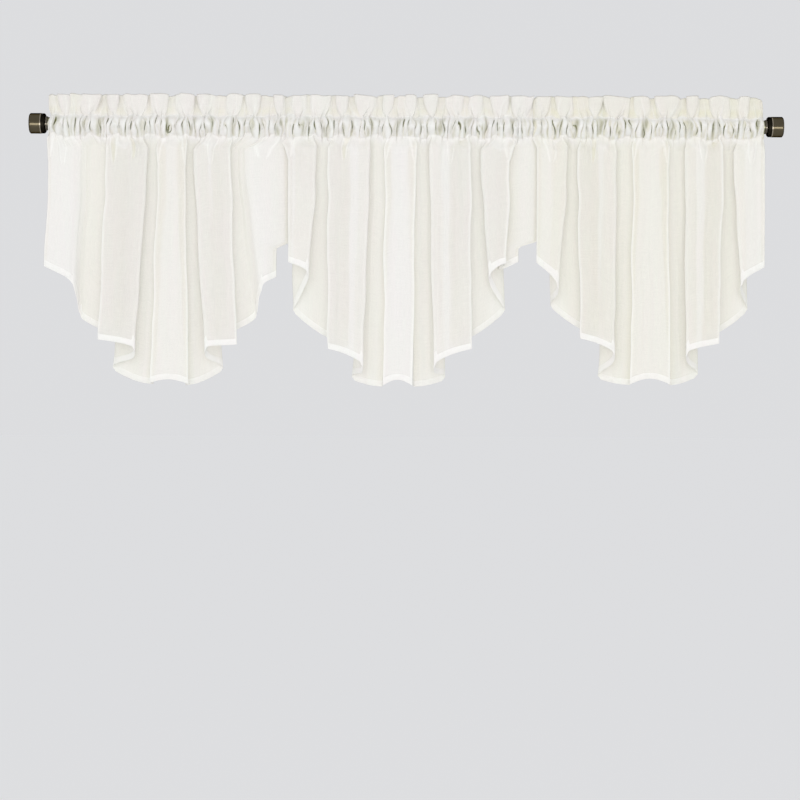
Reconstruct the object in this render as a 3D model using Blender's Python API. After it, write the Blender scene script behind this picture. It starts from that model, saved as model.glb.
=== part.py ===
"""Ascot valance of three gathered sheer panels, shirred side by side on one curtain rod.

Metres, +Z up, +X along the rod, and the room on the -Y side. The origin is on the rod's axis
at mid-length. Each panel is one closed solid: a ruffled header, a pocket round the rod and a
pleated skirt whose hem drops in steps from the sides to the middle. The tables are in
millimetres, one row for each fold of a panel from its left edge to its right edge.
"""

import math
from collections import namedtuple

import bmesh
import bpy
from mathutils import Matrix, Vector

MM = 0.001

# Rod and its end caps
ROD_RADIUS = 12.7
ROD_SIDES = 32
CAP_OUTER_X = 787.7
CAP_LENGTH = 33.5
CAP_RADIUS = 20.9
CAP_BEVEL = 1.6
NECK_LENGTH = 5.0
NECK_RADIUS = 14.6
BORE_DEPTH = 9.0
FIT_GAP = 0.3
CAP_SIDES = 24
WELD_DISTANCE = 0.01

# Heights of the cloth above the rod's axis
HEADER_TOP = 63.0
HEADER_SEAM = 16.4
POCKET_SEAM = -29.5
POCKET_FLOOR = -26.0

# Cloth
SKIRT_THICKNESS = 1.2
POCKET_THICKNESS = 1.7
HEADER_THICKNESS = 2.4
TUNNEL_RADIUS = 14.1
TUNNEL_LOW_DEPTH = 11.5
TUNNEL_LOW_Z = -13.0
POCKET_ROWS = 4

# Gathers and ruffle
GATHER_SHARE = 0.84
GATHER_MOST = 4.6
GATHER_UNEVEN = 0.35
GATHER_BEAT = 2.3
BULGE_LEAST = 0.3
SHOULDER_BULGE = 0.5
LOW_BULGE = 0.8
SHOULDER_LIFT = 1.2
SHOULDER_TRIM = 0.5
HEADER_SEAM_GATHER = 0.15
POCKET_FLOOR_GATHER = 0.3
POCKET_SEAM_GATHER = 0.6

# Header ruffle: a main wave and a finer one across it, each with its turns and share
Wave = namedtuple("Wave", "rate shift share")
RUFFLE_DEPTH = 4.5
RUFFLE_WAVES = (Wave(1.0, 0.0, 1.0), Wave(1.63, 2.2, 0.45))
RUFFLE_RISE = 1.3
RISE_WAVES = (Wave(0.9, 1.0, 1.0), Wave(2.1, 0.0, 0.6))

# How the gathers open into pleats below the pocket
GATHER_DROP = 16.0
EARLY_TURN_DROP = 19.0
TURN_DROP = 24.5
OVERLAP_DROP = 33.0
OPENING_DROP = 50.0
PLEAT_DROP = 64.0
PLEAT_TOP_SHARE = 0.62
ROW_DROPS = (0.0, GATHER_DROP, EARLY_TURN_DROP, TURN_DROP, OVERLAP_DROP, PLEAT_DROP)
NOTCH_START = 0.66
NOTCH_END = 0.78
ROW_SHARES = (NOTCH_START, NOTCH_END, 1.0)
EVEN_SHARE = 0.5
CENTRE_ARCH = 7.0

Fold = namedtuple("Fold", "kind x_top x_low depth hem")
Panel = namedtuple("Panel", "name pocket_left pocket_right ruffles phase folds")
Column = namedtuple("Column", "segment share arch")

# Reach of each fold's turn along the cloth, and half the gap that it holds open
Turn = namedtuple("Turn", "reach half_gap")
TURNS = {
    "edge": Turn(0.0, 0.0),
    "crisp": Turn(4.0, 1.2),
    "soft": Turn(9.0, 3.2),
    "rear": Turn(8.0, 3.6),
    "tuck": Turn(6.0, 2.0),
}

# Columns on the flats between two turns: a broad face gets more than a hidden return
MIDDLE_SPACING = 24.0
FACE_MIDDLES = 3

# Edges turned by more than this stay sharp, in degrees
CLOTH_SHARP = 60.0
METAL_SHARP = 40.0

# Colours
VOILE_COLOUR = (0.86, 0.84, 0.76)
STEEL_COLOUR = (0.34, 0.32, 0.28)
BRONZE_COLOUR = (0.06, 0.05, 0.04)

LEFT_FOLDS = (
    Fold("edge", -748, -755, -14, -299),
    Fold("soft", -681, -686, -20, -340),
    Fold("rear", -683, -688, 18, -407),
    Fold("tuck", -586, -591, -8, -444),
    Fold("crisp", -627, -640, -22, -452),
    Fold("soft", -539, -563, -20, -467),
    Fold("rear", -586, -610, 20, -513),
    Fold("tuck", -494, -500, -8, -536),
    Fold("crisp", -518, -531, -24, -542),
    Fold("crisp", -461, -450, -24, -544),
    Fold("tuck", -484, -481, -8, -538),
    Fold("rear", -413, -382, 20, -512),
    Fold("soft", -444, -419, -20, -466),
    Fold("crisp", -366, -351, -22, -461),
    Fold("tuck", -408, -396, -8, -447),
    Fold("rear", -314, -305, 18, -403),
    Fold("soft", -337, -307, -20, -340),
    Fold("edge", -247.6, -270, -12, -319),
)
CENTER_FOLDS = (
    Fold("edge", -246, -244, -20, -289),
    Fold("soft", -186, -201, -18, -307),
    Fold("rear", -234, -238, 18, -394),
    Fold("tuck", -117, -119, -8, -462),
    Fold("crisp", -164, -162, -22, -469),
    Fold("soft", -75, -88, -20, -498),
    Fold("rear", -100, -111, 20, -527),
    Fold("tuck", -23, -23, -8, -541),
    Fold("crisp", -45, -45, -24, -545),
    Fold("crisp", 20, 18, -24, -545),
    Fold("tuck", -3, -4, -8, -541),
    Fold("rear", 76, 84, 20, -526),
    Fold("soft", 48, 59, -20, -497),
    Fold("crisp", 135, 138, -22, -468),
    Fold("tuck", 90, 94, -8, -461),
    Fold("rear", 199, 209, 18, -392),
    Fold("soft", 155, 172, -18, -310),
    Fold("crisp", 217, 210, -22, -304),
    Fold("tuck", 199, 193, -6, -297),
    Fold("edge", 271.4, 236, -9, -285),
)
RIGHT_FOLDS = (
    Fold("edge", 273, 273, -20, -287),
    Fold("soft", 338, 320, -18, -332),
    Fold("rear", 306, 302, 18, -381),
    Fold("tuck", 402, 405, -8, -439),
    Fold("crisp", 357, 365, -22, -445),
    Fold("soft", 440, 437, -20, -472),
    Fold("rear", 413, 407, 20, -518),
    Fold("tuck", 495, 495, -8, -535),
    Fold("crisp", 473, 469, -24, -540),
    Fold("crisp", 547, 553, -24, -540),
    Fold("tuck", 524, 528, -8, -534),
    Fold("rear", 610, 614, 20, -515),
    Fold("soft", 581, 584, -20, -471),
    Fold("crisp", 662, 653, -22, -454),
    Fold("tuck", 625, 620, -8, -446),
    Fold("rear", 710, 716, 18, -387),
    Fold("soft", 683, 698, -18, -326),
    Fold("edge", 749, 748, -14, -294),
)
PANELS = (
    Panel("valance_left", -746.5, -250.0, 10, 0.4, LEFT_FOLDS),
    Panel("valance_center", -248.5, 267.0, 11, 1.9, CENTER_FOLDS),
    Panel("valance_right", 268.5, 746.5, 9, 3.3, RIGHT_FOLDS),
)


def mix(start, end, share):
    """Point or number between start and end."""
    return start + (end - start) * share


def smooth(share):
    """Ease from 0 to 1 with level ends."""
    share = min(max(share, 0.0), 1.0)
    return share * share * (3.0 - 2.0 * share)


def fold_point(fold, z):
    """Place of a fold in plan at a height: pleats slant and open as they fall."""
    pleat_top = POCKET_SEAM - PLEAT_DROP
    share = min(max((pleat_top - z) / (pleat_top - fold.hem), 0.0), 1.0)
    slant = share
    if fold.kind == "edge":
        slant = smooth((share - NOTCH_START) / (NOTCH_END - NOTCH_START))
    x = mix(fold.x_top, fold.x_low, slant)
    return Vector((x, fold.depth * mix(PLEAT_TOP_SHARE, 1.0, share)))


def turn_offset(folds, index, other, distance, z):
    """Push of the cloth beside a fold, which keeps the fold's two legs a little apart."""
    turn = TURNS[folds[index].kind]
    if turn.reach == 0.0:
        return Vector((0.0, 0.0))
    tip = fold_point(folds[index], z)
    leg = (fold_point(folds[other], z) - tip).normalized()
    back = (fold_point(folds[2 * index - other], z) - tip).normalized()
    closeness = max(leg.dot(back), 0.0)
    if closeness == 0.0:
        return Vector((0.0, 0.0))
    middle = (leg + back).normalized()
    side = Vector((-middle.y, middle.x))
    sign = 1.0 if leg.dot(side) > 0.0 else -1.0
    near = distance / turn.reach
    swell = math.sqrt(near) * math.exp((1.0 - near) / 2.0)
    return side * sign * turn.half_gap * closeness * swell


def pleat_point(folds, column, z):
    """Place of a column of the pleated skirt in plan at a height."""
    start = fold_point(folds[column.segment], z)
    end = fold_point(folds[column.segment + 1], z)
    length = (end - start).length
    point = start.lerp(end, column.share)
    point += turn_offset(folds, column.segment, column.segment + 1, column.share * length, z)
    point += turn_offset(folds, column.segment + 1, column.segment, (1.0 - column.share) * length, z)
    return point


def panel_columns(folds):
    """Columns of a panel: every fold's tip and both sides of its turn, and the flats between."""
    columns = []
    for segment in range(len(folds) - 1):
        start, end = folds[segment], folds[segment + 1]
        length = math.hypot(end.x_low - start.x_low, end.depth - start.depth)
        first = TURNS[start.kind].reach / length
        last = 1.0 - TURNS[end.kind].reach / length
        is_centre = start.kind == "crisp" and end.kind == "crisp"
        is_return = bool({"rear", "tuck"} & {start.kind, end.kind})
        middles = 1 if is_return else min(int(length / MIDDLE_SPACING), FACE_MIDDLES)
        shares = [0.0]
        if first > 0.0:
            shares.append(first)
        shares += [mix(first, last, (step + 1) / (middles + 1)) for step in range(middles)]
        if last < 1.0:
            shares.append(last)
        for share in shares:
            arch = math.sin(math.pi * share) * CENTRE_ARCH if is_centre else 0.0
            columns.append(Column(segment, share, arch))
    columns.append(Column(len(folds) - 2, 1.0, 0.0))
    return columns


def column_hem(folds, column):
    """Height of the hem at a column."""
    start, end = folds[column.segment], folds[column.segment + 1]
    return mix(start.hem, end.hem, column.share) + column.arch


def pocket_places(panel, columns):
    """Places of the columns along the rod, where the whole width is gathered in order."""
    folds = panel.folds
    anchors = {0: panel.pocket_left, len(folds) - 1: panel.pocket_right}
    anchors.update({i: f.x_top for i, f in enumerate(folds) if f.kind == "crisp"})
    fixed = sorted(anchors)
    columns_at = [i for i, column in enumerate(columns) if column.share == 0.0]
    columns_at.append(len(columns) - 1)
    places = []
    for left, right in zip(fixed, fixed[1:]):
        first, last = columns_at[left], columns_at[right]
        for i in range(first, last):
            places.append(mix(anchors[left], anchors[right], (i - first) / (last - first)))
    places.append(panel.pocket_right)
    last = len(columns) - 1
    even = [mix(panel.pocket_left, panel.pocket_right, i / last) for i in range(last + 1)]
    return [mix(place, level, EVEN_SHARE) for place, level in zip(places, even)]


def gather_heights(panel, places):
    """Height of each column's gather in the pocket: every second column stands out."""
    heights = []
    for i, place in enumerate(places):
        spacing = (places[min(i + 1, len(places) - 1)] - places[max(i - 1, 0)]) / 2.0
        uneven = 1.0 + GATHER_UNEVEN * math.sin(GATHER_BEAT * i + panel.phase)
        height = min(GATHER_SHARE * spacing, GATHER_MOST) * uneven
        heights.append(height if i % 2 else -height)
    return heights


def header_wave(panel, place):
    """Depth and extra height of the header's top edge at a place along the rod."""
    share = (place - panel.pocket_left) / (panel.pocket_right - panel.pocket_left)
    turn = 2.0 * math.pi * panel.ruffles * share + panel.phase
    depth = sum(wave.share * math.sin(wave.rate * turn + wave.shift) for wave in RUFFLE_WAVES)
    rise = sum(wave.share * math.sin(wave.rate * turn + wave.shift) for wave in RISE_WAVES)
    return depth * RUFFLE_DEPTH, rise * RUFFLE_RISE


def skirt_rows(panel, columns, places, gathers):
    """Middle surface of the skirt: rows of points from the pocket's seam down to the hem."""
    rows = []
    for row in range(len(ROW_DROPS) + len(ROW_SHARES)):
        points = []
        for column, place, gather in zip(columns, places, gathers):
            hem = column_hem(panel.folds, column)
            if row < len(ROW_DROPS):
                z = POCKET_SEAM - ROW_DROPS[row]
            else:
                z = mix(POCKET_SEAM - PLEAT_DROP, hem, ROW_SHARES[row - len(ROW_DROPS)])
            drop = POCKET_SEAM - z
            opening = smooth(drop / OPENING_DROP)
            left_of_gather = 1.0 - smooth(drop / GATHER_DROP)
            pleat = pleat_point(panel.folds, column, z)
            gathered = Vector((place, -gather * POCKET_SEAM_GATHER * left_of_gather))
            flat = gathered.lerp(pleat, opening)
            points.append(Vector((flat.x, flat.y, z)))
        rows.append(points)
    return rows


def across(points, index):
    """Unit direction out of the cloth's room side at a point of a row."""
    run = Vector((0.0, 0.0, 0.0))
    for start, end in ((index - 1, index), (index, index + 1)):
        if start >= 0 and end < len(points):
            step = points[end] - points[start]
            run += Vector((step.x, step.y, 0.0)).normalized()
    return Vector((run.y, -run.x, 0.0)).normalized()


def column_loops(panel, index, place, gather, rows):
    """Outer loop and tunnel loop of one column, both from the top round by the room side."""
    out = max(gather, 0.0) + BULGE_LEAST
    top_depth, top_rise = header_wave(panel, place)
    shoulder = math.sqrt(0.5) * TUNNEL_RADIUS
    front, back = [], []
    header = (
        (top_depth, HEADER_TOP + top_rise),
        (-gather * HEADER_SEAM_GATHER, HEADER_SEAM),
    )
    for depth, z in header:
        front.append(Vector((place, depth - HEADER_THICKNESS / 2.0, z)))
        back.append(Vector((place, depth + HEADER_THICKNESS / 2.0, z)))
    walls = (
        (shoulder + out * SHOULDER_BULGE, shoulder, SHOULDER_LIFT, SHOULDER_TRIM),
        (TUNNEL_RADIUS + out, 0.0, 0.0, 0.0),
        (TUNNEL_LOW_DEPTH + out * LOW_BULGE, TUNNEL_LOW_Z, 0.0, 0.0),
    )
    tunnel_front, tunnel_back = [], []
    for depth, z, lift, trim in walls:
        outside = depth + POCKET_THICKNESS - trim
        front.append(Vector((place, -outside, z + lift)))
        back.append(Vector((place, outside, z + lift)))
        tunnel_front.append(Vector((place, -depth, z)))
        tunnel_back.append(Vector((place, depth, z)))
    for number, points in enumerate(rows):
        middle = points[index]
        normal = Vector((0.0, -1.0, 0.0)) if number == 0 else across(points, index)
        front.append(middle + normal * SKIRT_THICKNESS / 2.0)
        back.append(middle - normal * SKIRT_THICKNESS / 2.0)
    roof = Vector((place, 0.0, TUNNEL_RADIUS))
    floor = Vector((place, -gather * POCKET_FLOOR_GATHER, POCKET_FLOOR))
    outer = front + back[::-1]
    tunnel = [roof] + tunnel_front + [floor] + tunnel_back[::-1]
    return outer, tunnel


def strip(mesh, first, second, turned):
    """Triangles between two neighbouring columns' loops."""
    count = len(first)
    for i in range(count):
        a, b = first[i], first[(i + 1) % count]
        c, d = second[(i + 1) % count], second[i]
        low_side = i >= count // 2
        faces = ((a, b, d), (b, c, d)) if low_side else ((a, b, c), (a, c, d))
        for face in faces:
            mesh.faces.new(face[::-1] if turned else face)


def side_face(mesh, outer, tunnel, turned):
    """Closes a panel's side: header and skirt strips, and a ring round the tunnel."""
    count = len(outer)
    roof, floor = tunnel[0], tunnel[POCKET_ROWS]
    faces = []
    for i in range(count // 2 - 1):
        a, b = outer[i], outer[i + 1]
        c, d = outer[count - 2 - i], outer[count - 1 - i]
        if i == 0 or i >= POCKET_ROWS + 1:
            faces.append((a, b, c, d))
    front_ring = outer[1:POCKET_ROWS + 2]
    back_ring = outer[count - POCKET_ROWS - 2:count - 1][::-1]
    front_tunnel = tunnel[:POCKET_ROWS + 1]
    back_tunnel = [tunnel[0]] + tunnel[:POCKET_ROWS:-1] + [tunnel[POCKET_ROWS]]
    for i in range(POCKET_ROWS):
        faces.append((front_ring[i], front_ring[i + 1], front_tunnel[i + 1], front_tunnel[i]))
        faces.append((back_ring[i + 1], back_ring[i], back_tunnel[i], back_tunnel[i + 1]))
    faces.append((front_ring[0], roof, back_ring[0]))
    faces.append((floor, front_ring[-1], back_ring[-1]))
    for face in faces:
        mesh.faces.new(face if turned else face[::-1])


def finish_object(mesh, name, material, sharp_degrees):
    """Turns a bmesh into a named object with its material and smooth shading."""
    data = bpy.data.meshes.new(name)
    mesh.to_mesh(data)
    mesh.free()
    data.shade_smooth()
    data.set_sharp_from_angle(angle=math.radians(sharp_degrees))
    data.materials.append(material)
    made = bpy.data.objects.new(name, data)
    bpy.context.scene.collection.objects.link(made)
    return made


def plain_material(name, colour, roughness, metallic):
    """Principled material of one colour."""
    material = bpy.data.materials.new(name)
    material.use_nodes = True
    shader = material.node_tree.nodes["Principled BSDF"]
    shader.inputs["Base Color"].default_value = (*colour, 1.0)
    shader.inputs["Roughness"].default_value = roughness
    shader.inputs["Metallic"].default_value = metallic
    return material


def make_panel(panel, material):
    """One valance panel as a closed solid with a tunnel for the rod."""
    columns = panel_columns(panel.folds)
    places = pocket_places(panel, columns)
    gathers = gather_heights(panel, places)
    rows = skirt_rows(panel, columns, places, gathers)
    mesh = bmesh.new()
    loops = []
    for index, (place, gather) in enumerate(zip(places, gathers)):
        outer, tunnel = column_loops(panel, index, place, gather, rows)
        outer_verts = [mesh.verts.new(point * MM) for point in outer]
        tunnel_verts = [mesh.verts.new(point * MM) for point in tunnel]
        loops.append((outer_verts, tunnel_verts))
    for (outer, tunnel), (next_outer, next_tunnel) in zip(loops, loops[1:]):
        strip(mesh, outer, next_outer, turned=False)
        strip(mesh, tunnel, next_tunnel, turned=True)
    side_face(mesh, *loops[0], turned=False)
    side_face(mesh, *loops[-1], turned=True)
    bmesh.ops.triangulate(mesh, faces=[face for face in mesh.faces if len(face.verts) > 3])
    bmesh.ops.recalc_face_normals(mesh, faces=mesh.faces)
    return finish_object(mesh, panel.name, material, CLOTH_SHARP)


def make_rod(material):
    """Plain round rod, its ends 0.3 mm short of the floors of the caps' bores."""
    bore_floor = CAP_OUTER_X - CAP_LENGTH - NECK_LENGTH + BORE_DEPTH
    length = 2.0 * (bore_floor - FIT_GAP)
    mesh = bmesh.new()
    bmesh.ops.create_cone(
        mesh, cap_ends=True, segments=ROD_SIDES, radius1=ROD_RADIUS * MM,
        radius2=ROD_RADIUS * MM, depth=length * MM,
        matrix=Matrix.Rotation(math.pi / 2.0, 4, "Y"))
    return finish_object(mesh, "rod", material, METAL_SHARP)


def make_cap(name, side, material):
    """End cap: a turned barrel with bevelled rims, a neck and a bore that takes the rod."""
    barrel_x = CAP_OUTER_X - CAP_LENGTH
    neck_x = barrel_x - NECK_LENGTH
    bore_radius = ROD_RADIUS + FIT_GAP
    outline = (
        (neck_x + BORE_DEPTH, 0.0),
        (neck_x + BORE_DEPTH, bore_radius),
        (neck_x, bore_radius),
        (neck_x, NECK_RADIUS),
        (barrel_x, NECK_RADIUS),
        (barrel_x, CAP_RADIUS - CAP_BEVEL),
        (barrel_x + CAP_BEVEL, CAP_RADIUS),
        (CAP_OUTER_X - CAP_BEVEL, CAP_RADIUS),
        (CAP_OUTER_X, CAP_RADIUS - CAP_BEVEL),
        (CAP_OUTER_X, 0.0),
    )
    mesh = bmesh.new()
    verts = [mesh.verts.new(Vector((side * x, 0.0, radius)) * MM) for x, radius in outline]
    edges = [mesh.edges.new(pair) for pair in zip(verts, verts[1:])]
    bmesh.ops.spin(
        mesh, geom=verts + edges, cent=(0.0, 0.0, 0.0), axis=(1.0, 0.0, 0.0),
        angle=2.0 * math.pi, steps=CAP_SIDES, use_merge=True)
    bmesh.ops.remove_doubles(mesh, verts=mesh.verts, dist=WELD_DISTANCE * MM)
    bmesh.ops.recalc_face_normals(mesh, faces=mesh.faces)
    return finish_object(mesh, name, material, METAL_SHARP)


def main():
    """Clears the scene and builds the panels, the rod and its caps."""
    for existing in list(bpy.data.objects):
        bpy.data.objects.remove(existing)
    for panel in PANELS:
        make_panel(panel, plain_material(panel.name + "_voile", VOILE_COLOUR, 0.8, 0.0))
    make_rod(plain_material("rod_steel", STEEL_COLOUR, 0.35, 0.9))
    for name, side in (("end_cap_left", -1.0), ("end_cap_right", 1.0)):
        make_cap(name, side, plain_material(name + "_bronze", BRONZE_COLOUR, 0.35, 0.8))


main()
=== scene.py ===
"""Looks of an ascot valance: three sheer voile panels shirred on a bronze rod with barrel caps.

Lengths in the classes and tables are millimetres, and MM turns them into the frame's metres. The
origin is on the rod's axis at mid-length, +X to the viewer's right, +Z up, the room on the -Y
side. Each panel is one sheet of cloth, as it is sewn: up the back of the rod pocket, over the
header's fold, down its front and the pocket's, and down the pleated skirt to the turned hem.

Every point of a sheet has marks that the finish reads: painted highlight beside a fold, painted
shade in recesses and hollows, an opening with painted shade where a slit opens, dense where
gathers lie close, and hem where the cloth is doubled.
"""

import logging
import math
from dataclasses import dataclass, field
from enum import Enum

import bmesh
import bpy
import numpy as np
from mathutils import Matrix, Vector


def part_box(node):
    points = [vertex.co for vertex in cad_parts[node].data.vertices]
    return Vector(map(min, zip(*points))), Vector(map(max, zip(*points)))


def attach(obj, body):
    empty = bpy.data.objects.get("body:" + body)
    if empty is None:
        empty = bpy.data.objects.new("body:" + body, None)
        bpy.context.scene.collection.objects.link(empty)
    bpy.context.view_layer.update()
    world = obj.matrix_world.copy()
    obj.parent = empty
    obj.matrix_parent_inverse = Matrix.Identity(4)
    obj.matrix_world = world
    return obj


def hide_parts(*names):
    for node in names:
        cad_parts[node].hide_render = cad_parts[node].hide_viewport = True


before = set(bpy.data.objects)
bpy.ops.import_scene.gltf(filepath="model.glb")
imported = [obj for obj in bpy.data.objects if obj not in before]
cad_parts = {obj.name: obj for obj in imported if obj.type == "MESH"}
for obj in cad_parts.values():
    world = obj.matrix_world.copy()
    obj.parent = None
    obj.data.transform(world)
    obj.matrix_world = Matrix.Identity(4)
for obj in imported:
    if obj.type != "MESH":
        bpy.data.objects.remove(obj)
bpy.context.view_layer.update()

LOG = logging.getLogger("ascot_valance")
MM = 0.001
TAU = 2.0 * math.pi

# Least step and least length that anything is divided by
TINY = 1e-6
NO_LENGTH = 1e-9

# Heights above the rod's axis
HEADER_TOP = 63.0
HEADER_SEAM = 16.4
POCKET_SEAM = -29.5
PLEAT_DROP = 64.0
ROD_RADIUS = 12.7

# Rate and share of the unlike sines that make an uneven wave, and how a seed shifts them
RIPPLE_SINES = ((1.0, 0.4), (1.618, 0.3), (2.414, 0.18), (3.303, 0.12))
SEED_START = 1.7
SEED_STEP = 2.3

Array = np.ndarray
Colour = tuple[float, float, float, float]


def mix(start: Array | float, end: Array | float, share: Array | float) -> Array | float:
    """Value or values between start and end."""
    return start + (end - start) * share


def clamp(value: Array | float) -> Array:
    """Value or values held between 0 and 1."""
    return np.clip(value, 0.0, 1.0)


def smooth(share: Array | float) -> Array:
    """Ease from 0 to 1 with level ends."""
    share = clamp(share)
    return share * share * (3.0 - 2.0 * share)


def bell(away: Array | float, width: Array | float) -> Array:
    """Bell curve, 1 at no distance and almost 0 at two widths."""
    return np.exp(-((away / width) ** 2))


def unit(vectors: Array) -> Array:
    """Vectors along the last axis, scaled to a length of 1."""
    return vectors / np.maximum(np.linalg.norm(vectors, axis=-1, keepdims=True), NO_LENGTH)


def even_shares(count: int) -> list[float]:
    """Shares from 0 up to, and without, 1."""
    return [step / count for step in range(count)]


def slope(values: Array, along: Array) -> Array:
    """Rise of the values for each step along, 0 steps taken as 1."""
    step = np.gradient(along)
    return np.gradient(values) / np.where(np.abs(step) < TINY, 1.0, step)


def level_curve(knots: Array, values: Array, at: Array) -> Array:
    """Smooth curve through values that never overshoots them.

    Args:
        knots: Rising places of the values.
        values: Values at the knots.
        at: Places to read the curve at.

    Returns:
        The curve's values.
    """
    widths = np.diff(knots)
    slopes = np.diff(values) / widths
    before, after = slopes[:-1], slopes[1:]
    same_way = before * after > 0.0
    safe = np.where(same_way, before + after, 1.0)
    inner = np.where(same_way, 2.0 * before * after / safe, 0.0)
    tangents = np.concatenate(([slopes[0]], inner, [slopes[-1]]))
    i = np.clip(np.searchsorted(knots, at, side="right") - 1, 0, len(widths) - 1)
    t = (at - knots[i]) / widths[i]
    rise = values[i + 1] - values[i]
    near = tangents[i] * widths[i]
    far = tangents[i + 1] * widths[i]
    cubic = (near + far - 2 * rise) * t**3
    return values[i] + near * t + (3 * rise - 2 * near - far) * t**2 + cubic


def ripple(at: Array | float, seed: float) -> Array:
    """Uneven wave of four sines of unlike pitch, the same each run.

    Args:
        at: Places along the wave, where the longest sine turns once in TAU.
        seed: Number that shifts the sines, so that waves of other seeds look unlike.

    Returns:
        Heights between about -1 and 1.
    """
    return sum(
        share * np.sin(rate * at + seed * (number + SEED_START) * SEED_STEP)
        for number, (rate, share) in enumerate(RIPPLE_SINES)
    )


@dataclass(frozen=True)
class Ripple:
    """An uneven wave with a length and a seed of its own."""

    length: float
    seed: float = 0.0

    def at(self, place: Array, phase: float = 0.0, shift: Array | float = 0.0) -> Array:
        """Height of the wave at each place, between about -1 and 1."""
        return ripple(place / self.length + shift, phase + self.seed)


class Turn(Enum):
    """How the cloth turns at a fold: its reach along the cloth, and half the gap it holds open."""

    EDGE = (0.0, 0.0)
    CRISP = (4.0, 1.2)
    SOFT = (15.0, 5.6)
    REAR = (8.0, 3.6)
    TUCK = (6.0, 2.0)

    @property
    def reach(self) -> float:
        """Distance from the fold's tip within which the cloth bends."""
        return self.value[0]

    @property
    def half_gap(self) -> float:
        """Half the gap between the fold's two legs."""
        return self.value[1]


class Side(Enum):
    """Side of the rod that a layer of cloth is on."""

    ROOM = -1.0
    BACK = 1.0


@dataclass(frozen=True)
class Fold:
    """One fold of a panel: its turn, its place at the pleats' top and at the hem, and its hem.

    A side edge moves from one place to the other between the two heights of its bend, and a
    rolled fold has a corner rounded within a distance of its tip.
    """

    turn: Turn
    x_top: float
    x_low: float
    depth: float
    hem: float
    bend: tuple[float, float] = (-150.0, -290.0)
    roll: float = 0.0


@dataclass(frozen=True)
class Crease:
    """A soft ridge or trough across a face, from one point to another.

    Places are a segment between two folds, a share of its width, and a height.
    """

    segment: int
    share_top: float
    z_top: float
    share_low: float
    z_low: float
    width: float
    rise: float
    end_share: float = 0.25

    def lift(self, share: Array, height: Array, face_width: float) -> Array:
        """Rise of the cloth on the crease's own face.

        Args:
            share: Share of the face's width at each column.
            height: Height of each column.
            face_width: Width of the face.

        Returns:
            The rise, which fades towards the crease's ends.
        """
        along = (height - self.z_top) / (self.z_low - self.z_top)
        middle = mix(self.share_top, self.share_low, along)
        length = smooth(along / self.end_share) * smooth((1.0 - along) / self.end_share)
        return self.rise * bell((share - middle) * face_width, self.width) * length


@dataclass(frozen=True)
class Pucker:
    """A small flap of cloth pushed out just under the pocket, which ends in a point.

    Its place is a segment between two folds and a share of its width.
    """

    segment: int
    share: float
    x_push: float
    y_push: float
    z_top: float
    z_low: float
    width: float
    taper: float = 0.8
    narrowest: float = 0.2
    # Painted highlight on the rim, and painted shade inside a pucker pushed back
    rim: float = 1.1
    rim_width: float = 0.28
    rim_highlight: float = 0.72
    inside_blur: float = 0.5
    inside_shade: float = 0.8

    def push(self, distance: Array, height: Array) -> tuple[Array, Array]:
        """Push of the cloth, which is turned over beside the pucker as a rim.

        Args:
            distance: Distance of each column from the pucker's middle, along the cloth.
            height: Height of each column.

        Returns:
            The push in x and in depth.
        """
        along = self._along(height)
        away = (distance / self.width) ** 2
        length = smooth(along * 3.0) * (1.0 - along) ** self.taper
        turned = (1.0 - away) * np.exp(-away / 2.0)
        return self.x_push * length * np.exp(-away), self.y_push * length * turned

    def marks(self, distance: Array, height: Array) -> tuple[Array, Array]:
        """Painted marks of the pucker, a drop that narrows to its point.

        Args:
            distance: Distance of each column from the pucker's middle, along the cloth.
            height: Height of each column.

        Returns:
            The painted highlight on the pucker's rim, and the painted shade inside it.
        """
        along = self._along(height)
        away = (distance / self.width) ** 2
        narrow = np.sqrt(away) / np.maximum(np.sqrt(1.0 - along), self.narrowest)
        ends = smooth(along * 6.0) * smooth((1.0 - along) * 5.0)
        rim = self.rim_highlight * ends * bell(narrow - self.rim, self.rim_width)
        inside = self.inside_shade * ends * smooth((self.rim - narrow) / self.inside_blur)
        return rim, inside * (self.y_push > 0.0)

    def _along(self, height: Array) -> Array:
        """Share of the way down the pucker at each height."""
        return clamp((height - self.z_top) / (self.z_low - self.z_top))


# Strength and width of the painted highlight at each turn, and of the painted shade beside a tuck
# At a rear fold the wide painted highlight is painted light over the shade of its crevice
FOLD_HIGHLIGHTS = {
    Turn.CRISP: (1.0, 3.6), Turn.SOFT: (0.45, 5.0), Turn.EDGE: (0.8, 3.2), Turn.REAR: (0.62, 36.0)}
TUCK_SHADES = {Turn.TUCK: (1.0, 24.0)}

LEFT_FOLDS = (
    Fold(Turn.EDGE, -748, -755, -14, -299),
    Fold(Turn.SOFT, -677, -683, -20, -340, roll=30),
    Fold(Turn.REAR, -670, -687, 6, -405, roll=16),
    Fold(Turn.TUCK, -586, -591, -8, -444),
    Fold(Turn.CRISP, -627, -640, -22, -452),
    Fold(Turn.SOFT, -539, -563, -20, -467),
    Fold(Turn.REAR, -588, -614, 14, -516),
    Fold(Turn.TUCK, -500, -524, -8, -544),
    Fold(Turn.CRISP, -518, -531, -24, -542),
    Fold(Turn.CRISP, -461, -450, -24, -544),
    Fold(Turn.TUCK, -480, -458, -8, -546),
    Fold(Turn.REAR, -413, -382, 14, -517),
    Fold(Turn.SOFT, -444, -419, -20, -466),
    Fold(Turn.CRISP, -366, -351, -22, -461),
    Fold(Turn.TUCK, -408, -396, -8, -447),
    Fold(Turn.REAR, -346, -307, 6, -403, roll=16),
    Fold(Turn.SOFT, -340, -306, -20, -340, roll=30),
    Fold(Turn.EDGE, -238, -270, -5, -319, bend=(-243.0, -262.0)),
)
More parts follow.
